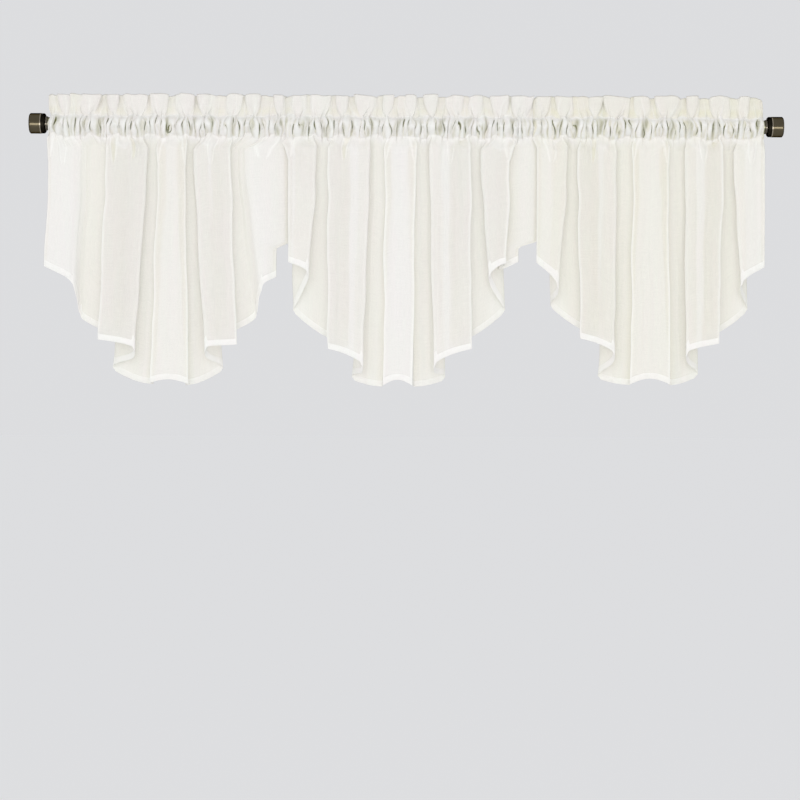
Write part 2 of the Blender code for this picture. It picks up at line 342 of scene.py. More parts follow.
CENTER_FOLDS = (
    Fold(Turn.EDGE, -246, -244, -20, -289),
    Fold(Turn.SOFT, -186, -201, -18, -307),
    Fold(Turn.REAR, -234, -238, 12, -394),
    Fold(Turn.TUCK, -117, -119, -8, -462),
    Fold(Turn.CRISP, -164, -162, -22, -469),
    Fold(Turn.SOFT, -75, -88, -20, -498),
    Fold(Turn.REAR, -100, -111, 14, -534),
    Fold(Turn.TUCK, -30, -46, -8, -547),
    Fold(Turn.CRISP, -45, -45, -24, -545),
    Fold(Turn.CRISP, 20, 16, -24, -545),
    Fold(Turn.TUCK, 4, 20, -8, -547),
    Fold(Turn.REAR, 76, 84, 14, -534),
    Fold(Turn.SOFT, 48, 59, -20, -497),
    Fold(Turn.CRISP, 135, 138, -22, -468),
    Fold(Turn.TUCK, 90, 94, -8, -461),
    Fold(Turn.REAR, 199, 209, 12, -392),
    Fold(Turn.SOFT, 155, 172, -18, -310),
    Fold(Turn.CRISP, 217, 210, -22, -290),
    Fold(Turn.TUCK, 199, 195, -6, -301),
    Fold(Turn.EDGE, 281, 236, -4, -285, bend=(-238.0, -257.0)),
)
RIGHT_FOLDS = (
    Fold(Turn.EDGE, 273, 273, -20, -287),
    Fold(Turn.SOFT, 338, 320, -18, -332),
    Fold(Turn.REAR, 306, 302, 12, -381),
    Fold(Turn.TUCK, 402, 405, -8, -439),
    Fold(Turn.CRISP, 357, 365, -22, -445),
    Fold(Turn.SOFT, 440, 437, -20, -472),
    Fold(Turn.REAR, 413, 405, 14, -529),
    Fold(Turn.TUCK, 488, 472, -8, -541),
    Fold(Turn.CRISP, 473, 469, -24, -540),
    Fold(Turn.CRISP, 547, 553, -24, -540),
    Fold(Turn.TUCK, 530, 552, -8, -541),
    Fold(Turn.REAR, 610, 614, 14, -525),
    Fold(Turn.SOFT, 581, 584, -20, -471),
    Fold(Turn.CRISP, 662, 653, -22, -454),
    Fold(Turn.TUCK, 625, 620, -8, -446),
    Fold(Turn.REAR, 710, 718, 12, -387),
    Fold(Turn.SOFT, 683, 698, -18, -326),
    Fold(Turn.EDGE, 749, 748, -14, -294),
)

LEFT_CREASES = (
    Crease(2, 0.15, -296, 0.95, -380, 8, -3.5),
    Crease(4, 0.30, -58, 0.36, -250, 9, 1.3),
    Crease(4, 0.62, -70, 0.58, -440, 6, 1.6),
    Crease(4, 0.76, -120, 0.79, -455, 4.5, -1.5),
    Crease(8, 0.42, -150, 0.50, -480, 9, -1.1),
    Crease(8, 0.80, -100, 0.80, -530, 4.5, 1.5),
    Crease(12, 0.18, -200, 0.25, -455, 5, -1.4),
    Crease(12, 0.52, -90, 0.44, -430, 7, 1.5),
    Crease(14, 0.95, -322, 0.50, -394, 7, 3.2),
)
CENTER_CREASES = (
    Crease(4, 0.20, -200, 0.20, -460, 4, 1.6),
    Crease(4, 0.54, -80, 0.61, -470, 7, -1.4),
    Crease(4, 0.80, -150, 0.82, -480, 5, 1.3),
    Crease(8, 0.28, -120, 0.35, -500, 6, -1.1),
    Crease(8, 0.72, -200, 0.67, -530, 5, 1.2),
    Crease(12, 0.15, -120, 0.12, -480, 4.5, 1.6),
    Crease(12, 0.60, -90, 0.68, -450, 7, -1.5),
    Crease(16, 0.45, -70, 0.55, -270, 6, 1.3),
)
RIGHT_CREASES = (
    Crease(4, 0.34, -100, 0.40, -440, 5.5, 1.7),
    Crease(4, 0.71, -150, 0.69, -460, 4.5, -1.5),
    Crease(8, 0.31, -230, 0.34, -530, 4, -1.6),
    Crease(8, 0.44, -190, 0.48, -530, 4, 1.4),
    Crease(8, 0.61, -250, 0.59, -530, 4, -1.3),
    Crease(8, 0.85, -100, 0.87, -520, 4.5, 1.5),
    Crease(12, 0.28, -110, 0.33, -450, 5, -1.5),
    Crease(12, 0.50, -150, 0.56, -450, 4, 1.6),
    Crease(12, 0.74, -200, 0.81, -440, 4, -1.3),
    Crease(16, 0.35, -80, 0.12, -280, 7, 1.7),
)

LEFT_PUCKERS = (
    Pucker(0, 0.0, -4, 0, -18, -78, 12),
    Pucker(0, 0.45, 0, -3, -24, -92, 8),
    Pucker(4, 0.66, 3, 7, -24, -80, 5.5),
    Pucker(4, 0.2, -3, 5, -24, -88, 6.5),
    Pucker(8, 0.0, -6, -1, -22, -84, 12),
    Pucker(9, 0.0, 6, -1, -22, -92, 12),
    Pucker(12, 0.45, 3, -3, -24, -88, 7),
    Pucker(16, 0.4, 4, -3, -24, -76, 8),
)
CENTER_PUCKERS = (
    Pucker(0, 0.0, -12, -3, -26, -74, 13),
    Pucker(4, 0.4, -3, 6, -22, -80, 6),
    Pucker(8, 0.0, -5, -1, -22, -80, 11),
    Pucker(9, 0.0, 5, -1, -22, -84, 11),
    Pucker(12, 0.5, 3, -3, -24, -84, 7),
    Pucker(17, 0.0, 13, -3, -24, -76, 11),
)
RIGHT_PUCKERS = (
    Pucker(0, 0.5, 0, -3, -24, -84, 8),
    Pucker(4, 0.4, 4, 6, -24, -82, 6),
    Pucker(8, 0.0, -5, -1, -22, -80, 11),
    Pucker(9, 0.0, 5, -1, -22, -88, 11),
    Pucker(12, 0.5, -4, -3, -24, -78, 8),
    Pucker(16, 0.55, 3, -3, -24, -84, 7),
)


@dataclass
class PleatPath:
    """Plan of a panel's pleats at any height, for all its columns at once."""

    folds: tuple[Fold, ...]
    top_share: float = 0.62
    waver: float = 1.7
    waver_reach: float = 50.0
    waver_step: float = 5.1
    shared_waver: Ripple = Ripple(42.0, 1.3)
    own_waver: Ripple = Ripple(42.0, 2.0)
    roll_share: float = 0.25
    far: float = 40.0

    def __post_init__(self) -> None:
        """Keeps the table's columns as arrays, and the cloth's length up to each fold."""
        turns = [fold.turn for fold in self.folds]
        self.x_top = self._column("x_top")
        self.x_low = self._column("x_low")
        self.depth = self._column("depth")
        self.hem = self._column("hem")
        self.bend = self._column("bend")
        self.roll = self._column("roll")
        self.reach = np.array([turn.reach for turn in turns])
        self.half_gap = np.array([turn.half_gap for turn in turns])
        self.is_edge = np.array([turn is Turn.EDGE for turn in turns])
        self.widths = np.hypot(np.diff(self.x_low), np.diff(self.depth))
        self.run = np.concatenate(([0.0], np.cumsum(self.widths)))

    def _column(self, name: str) -> Array:
        """One field of all the folds."""
        return np.array([getattr(fold, name) for fold in self.folds], float)

    def tips(self, index: Array, z: Array) -> Array:
        """Fold points in plan.

        Args:
            index: Number of a fold for each column.
            z: Height of each column.

        Returns:
            x and depth of each column's fold, since pleats slant and open as they fall.
        """
        top = POCKET_SEAM - PLEAT_DROP
        share = clamp((top - z) / (top - self.hem[index]))
        bend = self.bend[index]
        edge = smooth((bend[..., 0] - z) / (bend[..., 0] - bend[..., 1]))
        slant = np.where(self.is_edge[index], edge, share)
        x = mix(self.x_top[index], self.x_low[index], slant)
        waver = self.shared_waver.at(z) + self.own_waver.at(z, shift=index * self.waver_step)
        below = smooth((POCKET_SEAM - z) / self.waver_reach)
        x = x + self.waver * waver * below * ~self.is_edge[index]
        return np.stack((x, self.depth[index] * mix(self.top_share, 1.0, share)), axis=-1)

    def push(self, index: Array, other: Array, distance: Array, z: Array) -> Array:
        """Push of the cloth beside a fold, which parts the fold's two legs and rounds a roll.

        Args:
            index: Fold beside each column.
            other: Fold at the far end of each column's segment.
            distance: Distance of each column from the fold's tip.
            z: Height of each column.

        Returns:
            The push in plan.
        """
        last = len(self.folds) - 1
        tip = self.tips(index, z)
        leg = unit(self.tips(other, z) - tip)
        back = unit(self.tips(np.clip(2 * index - other, 0, last), z) - tip)
        closeness = clamp((leg * back).sum(axis=-1))
        middle = unit(leg + back)
        side = np.stack((-middle[..., 1], middle[..., 0]), axis=-1)
        sign = np.where((leg * side).sum(axis=-1) > 0.0, 1.0, -1.0)
        near = distance / np.maximum(self.reach[index], TINY)
        swell = np.sqrt(near) * np.exp((1.0 - np.minimum(near, self.far)) / 2.0)
        amount = sign * self.half_gap[index] * closeness * swell
        inside = 1.0 - np.minimum(distance / np.maximum(self.roll[index], TINY), 1.0)
        rounded = (leg + back) * (self.roll[index] * self.roll_share * inside**2)[..., None]
        return side * np.where(self.is_edge[index], 0.0, amount)[..., None] + rounded

    def plan(self, segment: Array, share: Array, z: Array) -> Array:
        """Place of each column in plan at its height.

        Args:
            segment: Number of the fold before each column.
            share: Share of the way to the next fold.
            z: Height of each column.

        Returns:
            x and depth of each column.
        """
        start, end = self.tips(segment, z), self.tips(segment + 1, z)
        length = np.linalg.norm(end - start, axis=-1)
        place = start + (end - start) * share[..., None]
        place = place + self.push(segment, segment + 1, share * length, z)
        return place + self.push(segment + 1, segment, (1.0 - share) * length, z)


@dataclass(frozen=True)
class Gathers:
    """Fine gathers of the rod pocket: uneven rounded pleats, parted by narrow slits that cross."""

    pitch: float = 13.2
    seam_depth: float = 1.9
    pocket_depth: float = 2.7
    sharpness: float = 0.6
    swell_power: float = 0.6
    uneven: float = 0.65
    uneven_wave: Ripple = Ripple(8.0, 4.0)
    drift: float = 2.4
    drift_wave: Ripple = Ripple(21.0)
    wander: float = 2.3
    wander_wave: Ripple = Ripple(7.5, 3.0)
    twist: float = 1.7
    twist_wave: Ripple = Ripple(6.0, 8.0)
    lean: float = 3.0
    lean_wave: Ripple = Ripple(17.0, 6.0)
    cross_rate: float = 1.43
    cross_start: float = 2.0
    cross_lean: float = 1.6
    cross_floor: float = 0.3
    broaden: float = 1.3
    broaden_lag: float = 0.6
    crinkle: float = 0.5
    crinkle_wave: Ripple = Ripple(1.5, 1.0)
    crinkle_fall: float = 4.0
    facet: float = 0.9
    facet_rate: float = 0.8
    facet_fall: float = 2.2
    facet_drift: float = 2.0
    facet_wave: Ripple = Ripple(15.0)
    end_swell: float = 0.3
    end_reach: float = 18.0

    def phase(self, place: Array, seed: float) -> Array:
        """Turn of the gathers' wave along the rod, in radians, a little uneven."""
        return TAU * place / self.pitch + self.drift * self.drift_wave.at(place, seed)

    def strength(self, place: Array, seed: float) -> Array:
        """Share of the full size that each gather has."""
        return 1.0 + self.uneven * self.uneven_wave.at(place, seed)

    def wave(self, phase: Array) -> Array:
        """Height of the gathers, 1 on a pleat's crest and -1 in the narrow slit beside it."""
        return 2.0 * np.abs(np.cos(phase / 2.0)) ** self.sharpness - 1.0

    def crossing(self, phase: Array, place: Array, share: float, seed: float) -> Array:
        """Height of the gathers where a second, shallower set of pleats crosses them.

        Args:
            phase: Turn of the gathers' wave.
            place: Place along the rod.
            share: Share of the way from the top seam to the lower one.
            seed: Number that sets the panel's own unevenness.

        Returns:
            The height, from -1 to 1.
        """
        tilt = self.lean * (share - 0.5) * self.lean_wave.at(place, seed)
        first = self.wave(phase + tilt)
        second = self.wave(self.cross_rate * phase + self.cross_start - self.cross_lean * tilt)
        return np.minimum(first, self.cross_floor + (1.0 - self.cross_floor) * second)

    def slide(self, phase: Array, strength: Array) -> Array:
        """Sideways shift that leans the ridges over the slits beside them."""
        return strength * self.broaden * np.sin(phase + self.broaden_lag)

    def straying(self, phase: Array, place: Array, share: float, seed: float) -> Array:
        """Turn of the gathers' wave part way down the pocket, where they wander and twist.

        Args:
            phase: Turn of the gathers' wave at the header's seam.
            place: Place along the rod.
            share: Share of the way from the top seam to the lower one.
            seed: Number that sets the panel's own unevenness.

        Returns:
            The turn in radians.
        """
        middle = math.sin(math.pi * share)
        wander = self.wander * middle * self.wander_wave.at(place, seed, share)
        twist = self.twist * math.sin(TAU * share) * self.twist_wave.at(place, seed)
        return phase + wander + twist

    def crumple(self, phase: Array, place: Array, share: float, seed: float) -> Array:
        """Fine crinkles and flat facets on the gathers.

        Args:
            phase: Turn of the gathers' wave.
            place: Place along the rod.
            share: Share of the way from the top seam to the lower one.
            seed: Number that sets the panel's own unevenness.

        Returns:
            The push in depth.
        """
        drift = self.facet_drift * self.facet_wave.at(place, seed)
        facets = np.abs(np.sin(phase * self.facet_rate + self.facet_fall * share + drift))
        crinkle = self.crinkle * self.crinkle_wave.at(place, seed, self.crinkle_fall * share)
        return crinkle - self.facet * facets


@dataclass(frozen=True)
class Slits:
    """Lens shaped slits that many of the gathers' valleys leave open, each with a raised lip."""

    width: float = 2.2
    length: float = 0.25
    least_length: float = 0.45
    length_by_size: float = 0.65
    size: float = 0.74
    uneven: float = 0.8
    uneven_wave: Ripple = Ripple(6.1, 13.0)
    middle: float = 0.53
    stray: float = 0.32
    stray_wave: Ripple = Ripple(14.0, 12.0)
    side_gap: float = 6.0
    side_reach: float = 10.0
    blur: float = 1.1
    lip_height: float = 0.9
    lip_away: float = 1.2
    lip_width: float = 1.0
    rates: tuple[float, float] = (0.12, 0.8)

    def open(self, share: float, turn: Array, panel: "VoilePanel") -> tuple[Array, Array]:
        """Works out the slits at a share of the way down a panel's pocket.

        Args:
            share: Share of the way down the pocket.
            turn: Turn of the gathers' wave at each column.
            panel: The panel.

        Returns:
            How open each column is, and how far it is on the raised lip beside a slit.
        """
        place, phase = panel.place, panel.phase
        size = clamp(self.size + self.uneven * self.uneven_wave.at(place, phase))
        size = size * smooth((panel.to_side - self.side_gap) / self.side_reach)
        middle = self.middle + self.stray * self.stray_wave.at(place, phase)
        length = self.length * (self.least_length + self.length_by_size * size)
        half = self.width * size * np.sqrt(clamp(1.0 - ((share - middle) / length) ** 2))
        rate = np.abs(slope(turn, place))
        away = np.abs(np.cos(turn / 2.0)) * 2.0 / np.clip(rate, *self.rates)
        opened = clamp((half - away) / self.blur)
        lip = bell(away - half - self.lip_away, self.lip_width)
        return opened, lip * smooth(half / self.lip_away)


@dataclass(frozen=True)
class PocketMarks:
    """Painted shade in the holes and valley patches, painted highlight on ridges, lips and seam."""

    hole_wave: Ripple = Ripple(3.7, 2.0)
    hole_fall: float = 6.0
    hole_gain: float = 3.4
    hole_start: float = 0.6
    hole_bare: float = 0.6
    hole_fade: float = 1.6
    patch_wave: Ripple = Ripple(7.5, 20.0)
    patch_fall: float = 1.5
    patch_gain: float = 1.7
    patch_power: float = 1.3
    patch_bare: float = 0.26
    patch_shade: float = 0.5
    valley_shade: float = 1.1
    ridge_light: float = 1.4
    seam_reach: float = 0.16
    seam_light: float = 0.7
    painted_highlight: float = 1.25
    lip_highlight: float = 0.8
    seam_highlight: float = 0.8

    def marks(
            self, share: float, ridge: Array, slit: Array, lip: Array,
            panel: "VoilePanel") -> tuple[Array, Array, Array]:
        """Works out the marks at a share of the way down a panel's pocket.

        Args:
            share: Share of the way down the pocket.
            ridge: Height of the gathers at each column, from 0 to 1.
            slit: How open each column is.
            lip: How far each column is on the lip beside a slit.
            panel: The panel.

        Returns:
            Painted highlight, painted shade, and how open each column is, with painted shade.
        """
        place, phase = panel.place, panel.phase
        middle = math.sin(math.pi * share)
        holes = self.hole_wave.at(place, phase, self.hole_fall * share)
        holes = clamp(holes * self.hole_gain - self.hole_start)
        bare_and_shaded = self.hole_bare * clamp(1.0 - self.hole_fade * ridge) * holes * middle
        patch = self.patch_wave.at(place, phase, self.patch_fall * share)
        patch = clamp(self.patch_gain * patch)
        valley = patch**self.patch_power * (1.0 - ridge**3) * middle**0.5
        # An open slit, hole or valley patch gets the dark slit colour as painted shade, with less
        # cover
        bare_and_shaded = np.maximum(np.maximum(bare_and_shaded, slit), self.patch_bare * panel.recess_shade * valley)
        seam = bell(share, self.seam_reach)
        shade = self.valley_shade - self.ridge_light * ridge + self.patch_shade * patch
        shade = panel.recess_shade * clamp(shade) * (1.0 - self.seam_light * seam)
        painted_highlight = np.maximum(np.maximum(ridge**4, self.lip_highlight * lip), self.seam_highlight * seam)
        return self.painted_highlight * painted_highlight, shade, bare_and_shaded


@dataclass(frozen=True)
class Header:
    """Standing ruffle above the pocket: broad petals that fan out of the seam."""

    petal_depth: float = 5.4
    end_depth: float = 0.4
    broaden: float = 6.2
    overhang: float = 5.6
    spread: float = 0.8
    lean: float = 6.5
    lean_wave: Ripple = Ripple(24.0, 7.0)
    fan: float = 4.5
    fan_wave: Ripple = Ripple(20.0, 2.0)
    fan_start: float = 0.15
    fan_power: float = 0.8
    size_uneven: float = 0.65
    size_wave: Ripple = Ripple(27.0, 6.0)
    vein_depth: float = 1.6
    vein_rate: float = 0.37
    vein_width: float = 0.2
    vein_lean: float = 2.4
    vein_wave: Ripple = Ripple(19.0)
    vein_fade: float = 0.8
    vein_start: float = 8.0
    vein_highlight: float = 0.9
    rise: float = 1.5
    rise_rates: tuple[float, float] = (0.9, 2.1)
    rise_lead: float = 1.0
    rise_short: float = 0.6
    fray: float = 0.5
    fray_rate: float = 1.7
    droop: float = 1.9
    corner_droop: float = 1.5
    corner_power: int = 4
    end_droop: float = 4.0
    end_reach: float = 4.5
    layer_gap: float = 1.6
    uneven: float = 1.55
    uneven_rate: float = 0.55
    uneven_seed: float = 2.0
    gathered: float = 0.8
    gathered_power: float = 1.3
    # Painted highlight where the cloth turns edge-on and on veins; painted shade in valleys and
    # hollows
    turned_highlight: float = 0.85
    valley_shade: float = 0.45
    hollow_shade: float = 0.65
    hollow_size: float = 1.4
    hollow_at: float = 0.28
    hollow_reach: float = 0.24

    def petals(self, share: Array, count: float, phase: float) -> Array:
        """Turn of the petals' wave at each share of the rod's pocket.

        Args:
            share: Share of the way along the panel's pocket.
            count: Number of petals.
            phase: Number that sets the panel's own unevenness.

        Returns:
            The turn in radians, 0 on a petal's crest.
        """
        turn = TAU * count * share + phase
        uneven = ripple(turn * self.uneven_rate, phase + self.uneven_seed)
        return turn + math.pi / 2.0 + self.uneven * uneven

    def top(self, petals: Array, size: Array, panel: "VoilePanel") -> Array:
        """Height of the header's top edge, which droops where petals bend and at the ends.

        Args:
            petals: Turn of the petals' wave at each column.
            size: Size of each column's petal.
            panel: The panel.

        Returns:
            The height at each column.
        """
        turn = TAU * panel.petal_count * panel.place_share + panel.phase
        long, short = self.rise_rates
        wave = np.sin(long * turn + self.rise_lead) + self.rise_short * np.sin(short * turn)
        fray = self.fray * ripple(turn * self.fray_rate, panel.phase)
        top = HEADER_TOP + self.rise * wave + fray
        top = top - self.droop * (0.5 - 0.5 * np.cos(petals)) * size
        top = top - self.corner_droop * np.sin(petals) ** self.corner_power
        return top - self.end_droop * bell(panel.to_side, self.end_reach)

    def fanned(self, share: float) -> float:
        """Share of their full width that the petals have at a share of the way up."""
        opened = smooth(share * (1.0 - self.fan_start) + self.fan_start) ** self.fan_power
        return opened if share > 0.0 else 0.0

    def vein(self, share: float, panel: "VoilePanel") -> Array:
        """Fine veins that run up from the seam and fade.

        Args:
            share: Share of the way up the header.
            panel: The panel.

        Returns:
            How far each column is on a vein.
        """
        lean = self.vein_lean * share * self.vein_wave.at(panel.place, panel.phase)
        vein = bell(np.sin(panel.turn * self.vein_rate + lean), self.vein_width)
        return vein * (1.0 - share) ** self.vein_fade * smooth(share * self.vein_start)


@dataclass(frozen=True)
class Pocket:
    """Side view of the pocket: cloth drawn tight round the rod between its two seams."""

    radius: float = 13.5
    seam_gap: float = 0.35
    seam_rise: float = 11.0
    seam_share: float = 0.5
    seam_power: float = 1.4
    seam_wave: Ripple = Ripple(10.5, 5.0)
    top_low: float = 14.0
    top_rise: float = 7.0
    top_share: float = 0.42
    top_wave: Ripple = Ripple(6.5, 8.0)
    uneven: float = 0.75
    seam_ahead: float = 4.0
    ahead_from: float = 0.35

    def low_seam(self, place: Array, seed: float) -> Array:
        """Height of the lower seam, which the gathers pull up into uneven peaks."""
        peaks = clamp(self.seam_share + self.uneven * self.seam_wave.at(place, seed))
        return POCKET_SEAM + self.seam_rise * peaks**self.seam_power

    def top_seam(self, place: Array, seed: float) -> Array:
        """Height of the header's seam, which dips between the petals."""
        rises = clamp(self.top_share + self.uneven * self.top_wave.at(place, seed))
        return self.top_low + self.top_rise * rises

    def depth(self, height: Array, top: Array, low: Array) -> Array:
        """Distance of the cloth from the rod's middle plane.

        Args:
            height: Height of each column.
            top: Height of the header's seam at each column.
            low: Height of the lower seam at each column.

        Returns:
            The distance: round the rod, and straight from where the cloth leaves it to a seam.
        """
        square = self.radius * self.radius
        leaves_top, leaves_low = square / top, square / low
        round_rod = np.sqrt(np.clip(square - height * height, 0.0, None))
        to_top = (height - leaves_top) / (top - leaves_top)
        to_low = (leaves_low - height) / (leaves_low - low)
        above = mix(np.sqrt(square - leaves_top**2), self.seam_gap, to_top)
        below = mix(np.sqrt(square - leaves_low**2), self.seam_gap, to_low)
        straight = np.where(height < leaves_low, below, round_rod)
        return np.where(height > leaves_top, above, straight)

    def ahead(self, share: float) -> Array:
        """How far the pocket's front stands ahead at a share of the way down it."""
        return self.seam_ahead * smooth((share - self.ahead_from) / (1.0 - self.ahead_from))


@dataclass(frozen=True)
class Skirt:
    """How the skirt opens from its seam into pleats, its ripples, and the painted shade on it."""

    opening_drop: float = 28.0
    fading: float = 16.0
    fading_uneven: float = 12.0
    fading_wave: Ripple = Ripple(7.0, 9.0)
    tip_reach: float = 8.0
    running: float = 1.7
    running_share: float = 0.35
    running_drop: float = 34.0
    running_wave: Ripple = Ripple(6.0, 5.0)
    soft: float = 0.5
    soft_wave: Ripple = Ripple(3.8)
    soft_waver: float = 0.4
    soft_waver_wave: Ripple = Ripple(45.0, 1.0)
    broad: float = 0.8
    broad_wave: Ripple = Ripple(17.0, 3.0)
    broad_drop: float = 160.0
    relief_drop: float = 8.0
    depth_shade: float = 0.7
    depth_front: float = 17.0
    depth_reach: float = 24.0
    tuck_front: float = 20.0
    tuck_reach: float = 8.0
    shade_drop: float = 20.0

    def held(self, drop: Array, panel: "VoilePanel") -> Array:
        """Share of the pocket's gathers that is left at each column's drop below the seam."""
        wave = self.fading_wave.at(panel.place, panel.phase)
        return 1.0 - smooth(drop / (self.fading + self.fading_uneven * wave))

    def ripples(self, drop: Array, panel: "VoilePanel") -> Array:
        """Ripples on the pleats, which run down from the gathers or lie along the cloth.

        Args:
            drop: Drop of each column below the pocket's seam.
            panel: The panel.

        Returns:
            How far the cloth stands out at each column, nothing at a fold's tip.
        """
        phase = panel.phase
        tip = np.minimum(panel.share, 1.0 - panel.share) * panel.path.widths[panel.segment]
        flat = 1.0 - bell(tip, self.tip_reach)
        long = self.running_share + self.running_wave.at(panel.place, phase)
        long = self.running * np.clip(long, 0.0, None)
        running = long * np.exp(-drop / self.running_drop) * panel.gathers.wave(panel.turn)
        waver = self.soft_waver * self.soft_waver_wave.at(drop)
        soft = self.soft * self.soft_wave.at(panel.run, phase, waver)
        broad = self.broad * self.broad_wave.at(panel.run, phase, drop / self.broad_drop)
        return (running + soft + broad) * flat * smooth(drop / self.relief_drop)

    def shade(self, drop: Array, y: Array, panel: "VoilePanel") -> Array:
        """Painted shade of the pleats: deeper towards the back, beside tucks and on single faces.

        Args:
            drop: Drop of each column below the pocket's seam.
            y: Depth of each column.
            panel: The panel.

        Returns:
            The shade at each column.
        """
        deep = self.depth_shade * smooth((y + self.depth_front) / self.depth_reach)
        tucked = panel.tuck_marks * smooth((y + self.tuck_front) / self.tuck_reach)
        shade = np.maximum(np.maximum(deep, panel.face_shade), tucked)
        return shade * smooth(drop / self.shade_drop)


@dataclass(frozen=True)
class Hem:
    """Turned and stitched edges of a panel: the stepped hem and its two sides."""

    width: float = 12.5
    side: float = 6.5
    layer: float = 0.4
    arch: float = 12.0
    soft_drop: float = 22.0
    rear_drop: float = 13.0
    turn_reach: float = 6.0
    steepest: float = 2.0
    seam_allowance: float = 12.0
    side_columns: tuple[float, ...] = (1.0, 0.62, 0.25, 0.06)
    front_rows: tuple[float, ...] = (0.96, 0.5, 0.03)
    back_rows: tuple[float, ...] = (0.03, 0.5, 0.94, 0.97)
    tucked_rows: tuple[float, ...] = (0.955, 0.9, 0.2)

    @property
    def row_count(self) -> int:
        """Rows of the turned hem, with the one at its fold."""
        return len(self.front_rows) + 1 + len(self.back_rows) + len(self.tucked_rows)


@dataclass(frozen=True)
class Grid:
    """How close the sheet's columns and rows lie, finer at fold tips and where gathers crowd."""

    by_cloth: float = 0.2
    by_rod: float = 0.52
    at_tips: float = 0.8
    tip_reach: float = 4.0
    step: float = 0.25
    back_rows: int = 12
    header_rows: int = 16
    pocket_rows: int = 24
    skirt_rows: int = 84
    skirt_power: float = 1.55


@dataclass
class VoilePanel:
    """One valance panel as a single sheet of cloth, from its pocket's back to its turned hem.

    Its pocket runs from one place on the rod to another, and its lap lies over the panel to its
    left. The pulls draw the cloth near its ends inwards. A painted shade can lie over all its
    cloth, and over single faces, by the number of the fold before them.
    """

    node: str
    pocket_left: float
    pocket_right: float
    petal_count: int
    phase: float
    folds: tuple[Fold, ...]
    creases: tuple[Crease, ...]
    puckers: tuple[Pucker, ...]
    gathers: Gathers = Gathers()
    slits: Slits = Slits()
    pocket_marks: PocketMarks = PocketMarks()
    header: Header = Header()
    pocket: Pocket = Pocket()
    skirt: Skirt = Skirt()
    hem: Hem = Hem()
    grid: Grid = Grid()
    even_share: float = 0.25
    hidden_share: float = 0.02
    lap: float = 0.0
    lap_reach: float = 22.0
    lap_depth: float = 0.5
    neck_pull: float = 5.0
    neck_reach: float = 11.0
    left_pull: float = 0.0
    right_pull: float = 0.0
    top_pull: float = 0.0
    pull_reach: float = 12.0
    end_share: float = 0.03
    # Painted shade over the whole panel and on single faces by number, and its gain in hollows
    panel_shade: float = 0.0
    face_shades: dict[int, float] = field(default_factory=dict)
    recess_shade: float = 1.15
    loose_dense: float = 0.6

    def __post_init__(self) -> None:
        """Works out the columns of the sheet, and what each keeps from its top to its hem."""
        self.path = PleatPath(self.folds)
        self._lay_columns()
        self.hem_line = self._hem_line(self.run)
        steepest = self.hem.steepest
        fall = np.clip(slope(self.hem_line, self.run), -steepest, steepest)
        self.hem_slant = np.sqrt(1.0 + fall**2)
        self.place = self._pocket_place(self.run)
        place, phase = self.place, self.phase
        self.place_share = (place - self.pocket_left) / (self.pocket_right - self.pocket_left)
        self.to_side = np.minimum(place - self.pocket_left, self.pocket_right - place)
        self.ends = smooth(np.minimum(self.place_share, 1.0 - self.place_share) / self.end_share)
        self.lapped = (1.0 - smooth((place - self.pocket_left) / self.lap_reach)) * self.lap
        self.turn = self.gathers.phase(place, phase)
        self.strength = self.gathers.strength(place, phase)
        self.low_seam = self.pocket.low_seam(place, phase)
        self.top_seam = self.pocket.top_seam(place, phase)
        self.petals = self.header.petals(self.place_share, self.petal_count, phase)
        # Painted highlight beside folds, painted shade beside tucks and on single faces
        self.fold_marks = self._fold_marks(FOLD_HIGHLIGHTS)
        self.tuck_marks = self._fold_marks(TUCK_SHADES)
        self.face_shade = np.array([self.face_shades.get(int(number), 0.0) for number in self.segment])

    def _lay_columns(self) -> None:
        """Sets each column's place along the cloth, and how far behind the sheet it lies."""
        path, grid, hem = self.path, self.grid, self.hem
        fine = np.arange(0.0, path.run[-1], grid.step)
        near = np.abs(fine[:, None] - path.run[None, :]).min(axis=1)
        pocket = np.gradient(self._pocket_place(fine), fine)
        density = grid.by_cloth + grid.by_rod * pocket
        density = density + grid.at_tips * bell(near, grid.tip_reach)
        count = np.concatenate(([0.0], np.cumsum(density[1:] * grid.step)))
        inner = np.interp(np.linspace(0.0, count[-1], round(float(count[-1]))), count, fine)
        inner[-1] = path.run[-1]
        turned = np.array(hem.side_columns) * hem.side
        self.run = np.concatenate([turned, inner, path.run[-1] - turned[::-1]])
        last = len(path.widths) - 1
        self.segment = np.clip(np.searchsorted(path.run, self.run, side="right") - 1, 0, last)
        self.share = (self.run - path.run[self.segment]) / path.widths[self.segment]
        self.behind = np.zeros(len(self.run))
        self.behind[:len(turned)] = self.behind[-len(turned):] = hem.layer
        self.behind[len(turned)] = self.behind[-len(turned) - 1] = hem.layer / 2.0

    def _hem_knots(self) -> tuple[Array, Array]:
        """Points that the hem passes, which drops steeply round soft and rear folds.

        Returns:
            The points' places along the cloth, and their heights.
        """
        path, reach, knots = self.path, self.hem.turn_reach, []
        for i, fold in enumerate(self.folds):
            if fold.turn not in (Turn.SOFT, Turn.REAR):
                knots.append((path.run[i], fold.hem))
                continue
            partner = Turn.REAR if fold.turn is Turn.SOFT else Turn.SOFT
            inner = -1 if self.folds[i - 1].turn is partner else 1
            outer_width = abs(path.run[i - inner] - path.run[i])
            outer = mix(fold.hem, self.folds[i - inner].hem, reach / outer_width)
            drop = self.hem.soft_drop if fold.turn is Turn.SOFT else -self.hem.rear_drop
            knots.append((path.run[i] - inner * reach, outer))
            knots.append((path.run[i], fold.hem - 0.5 * drop))
            knots.append((path.run[i] + inner * reach, fold.hem - drop))
        knots.sort()
        return np.array([knot[0] for knot in knots]), np.array([knot[1] for knot in knots])

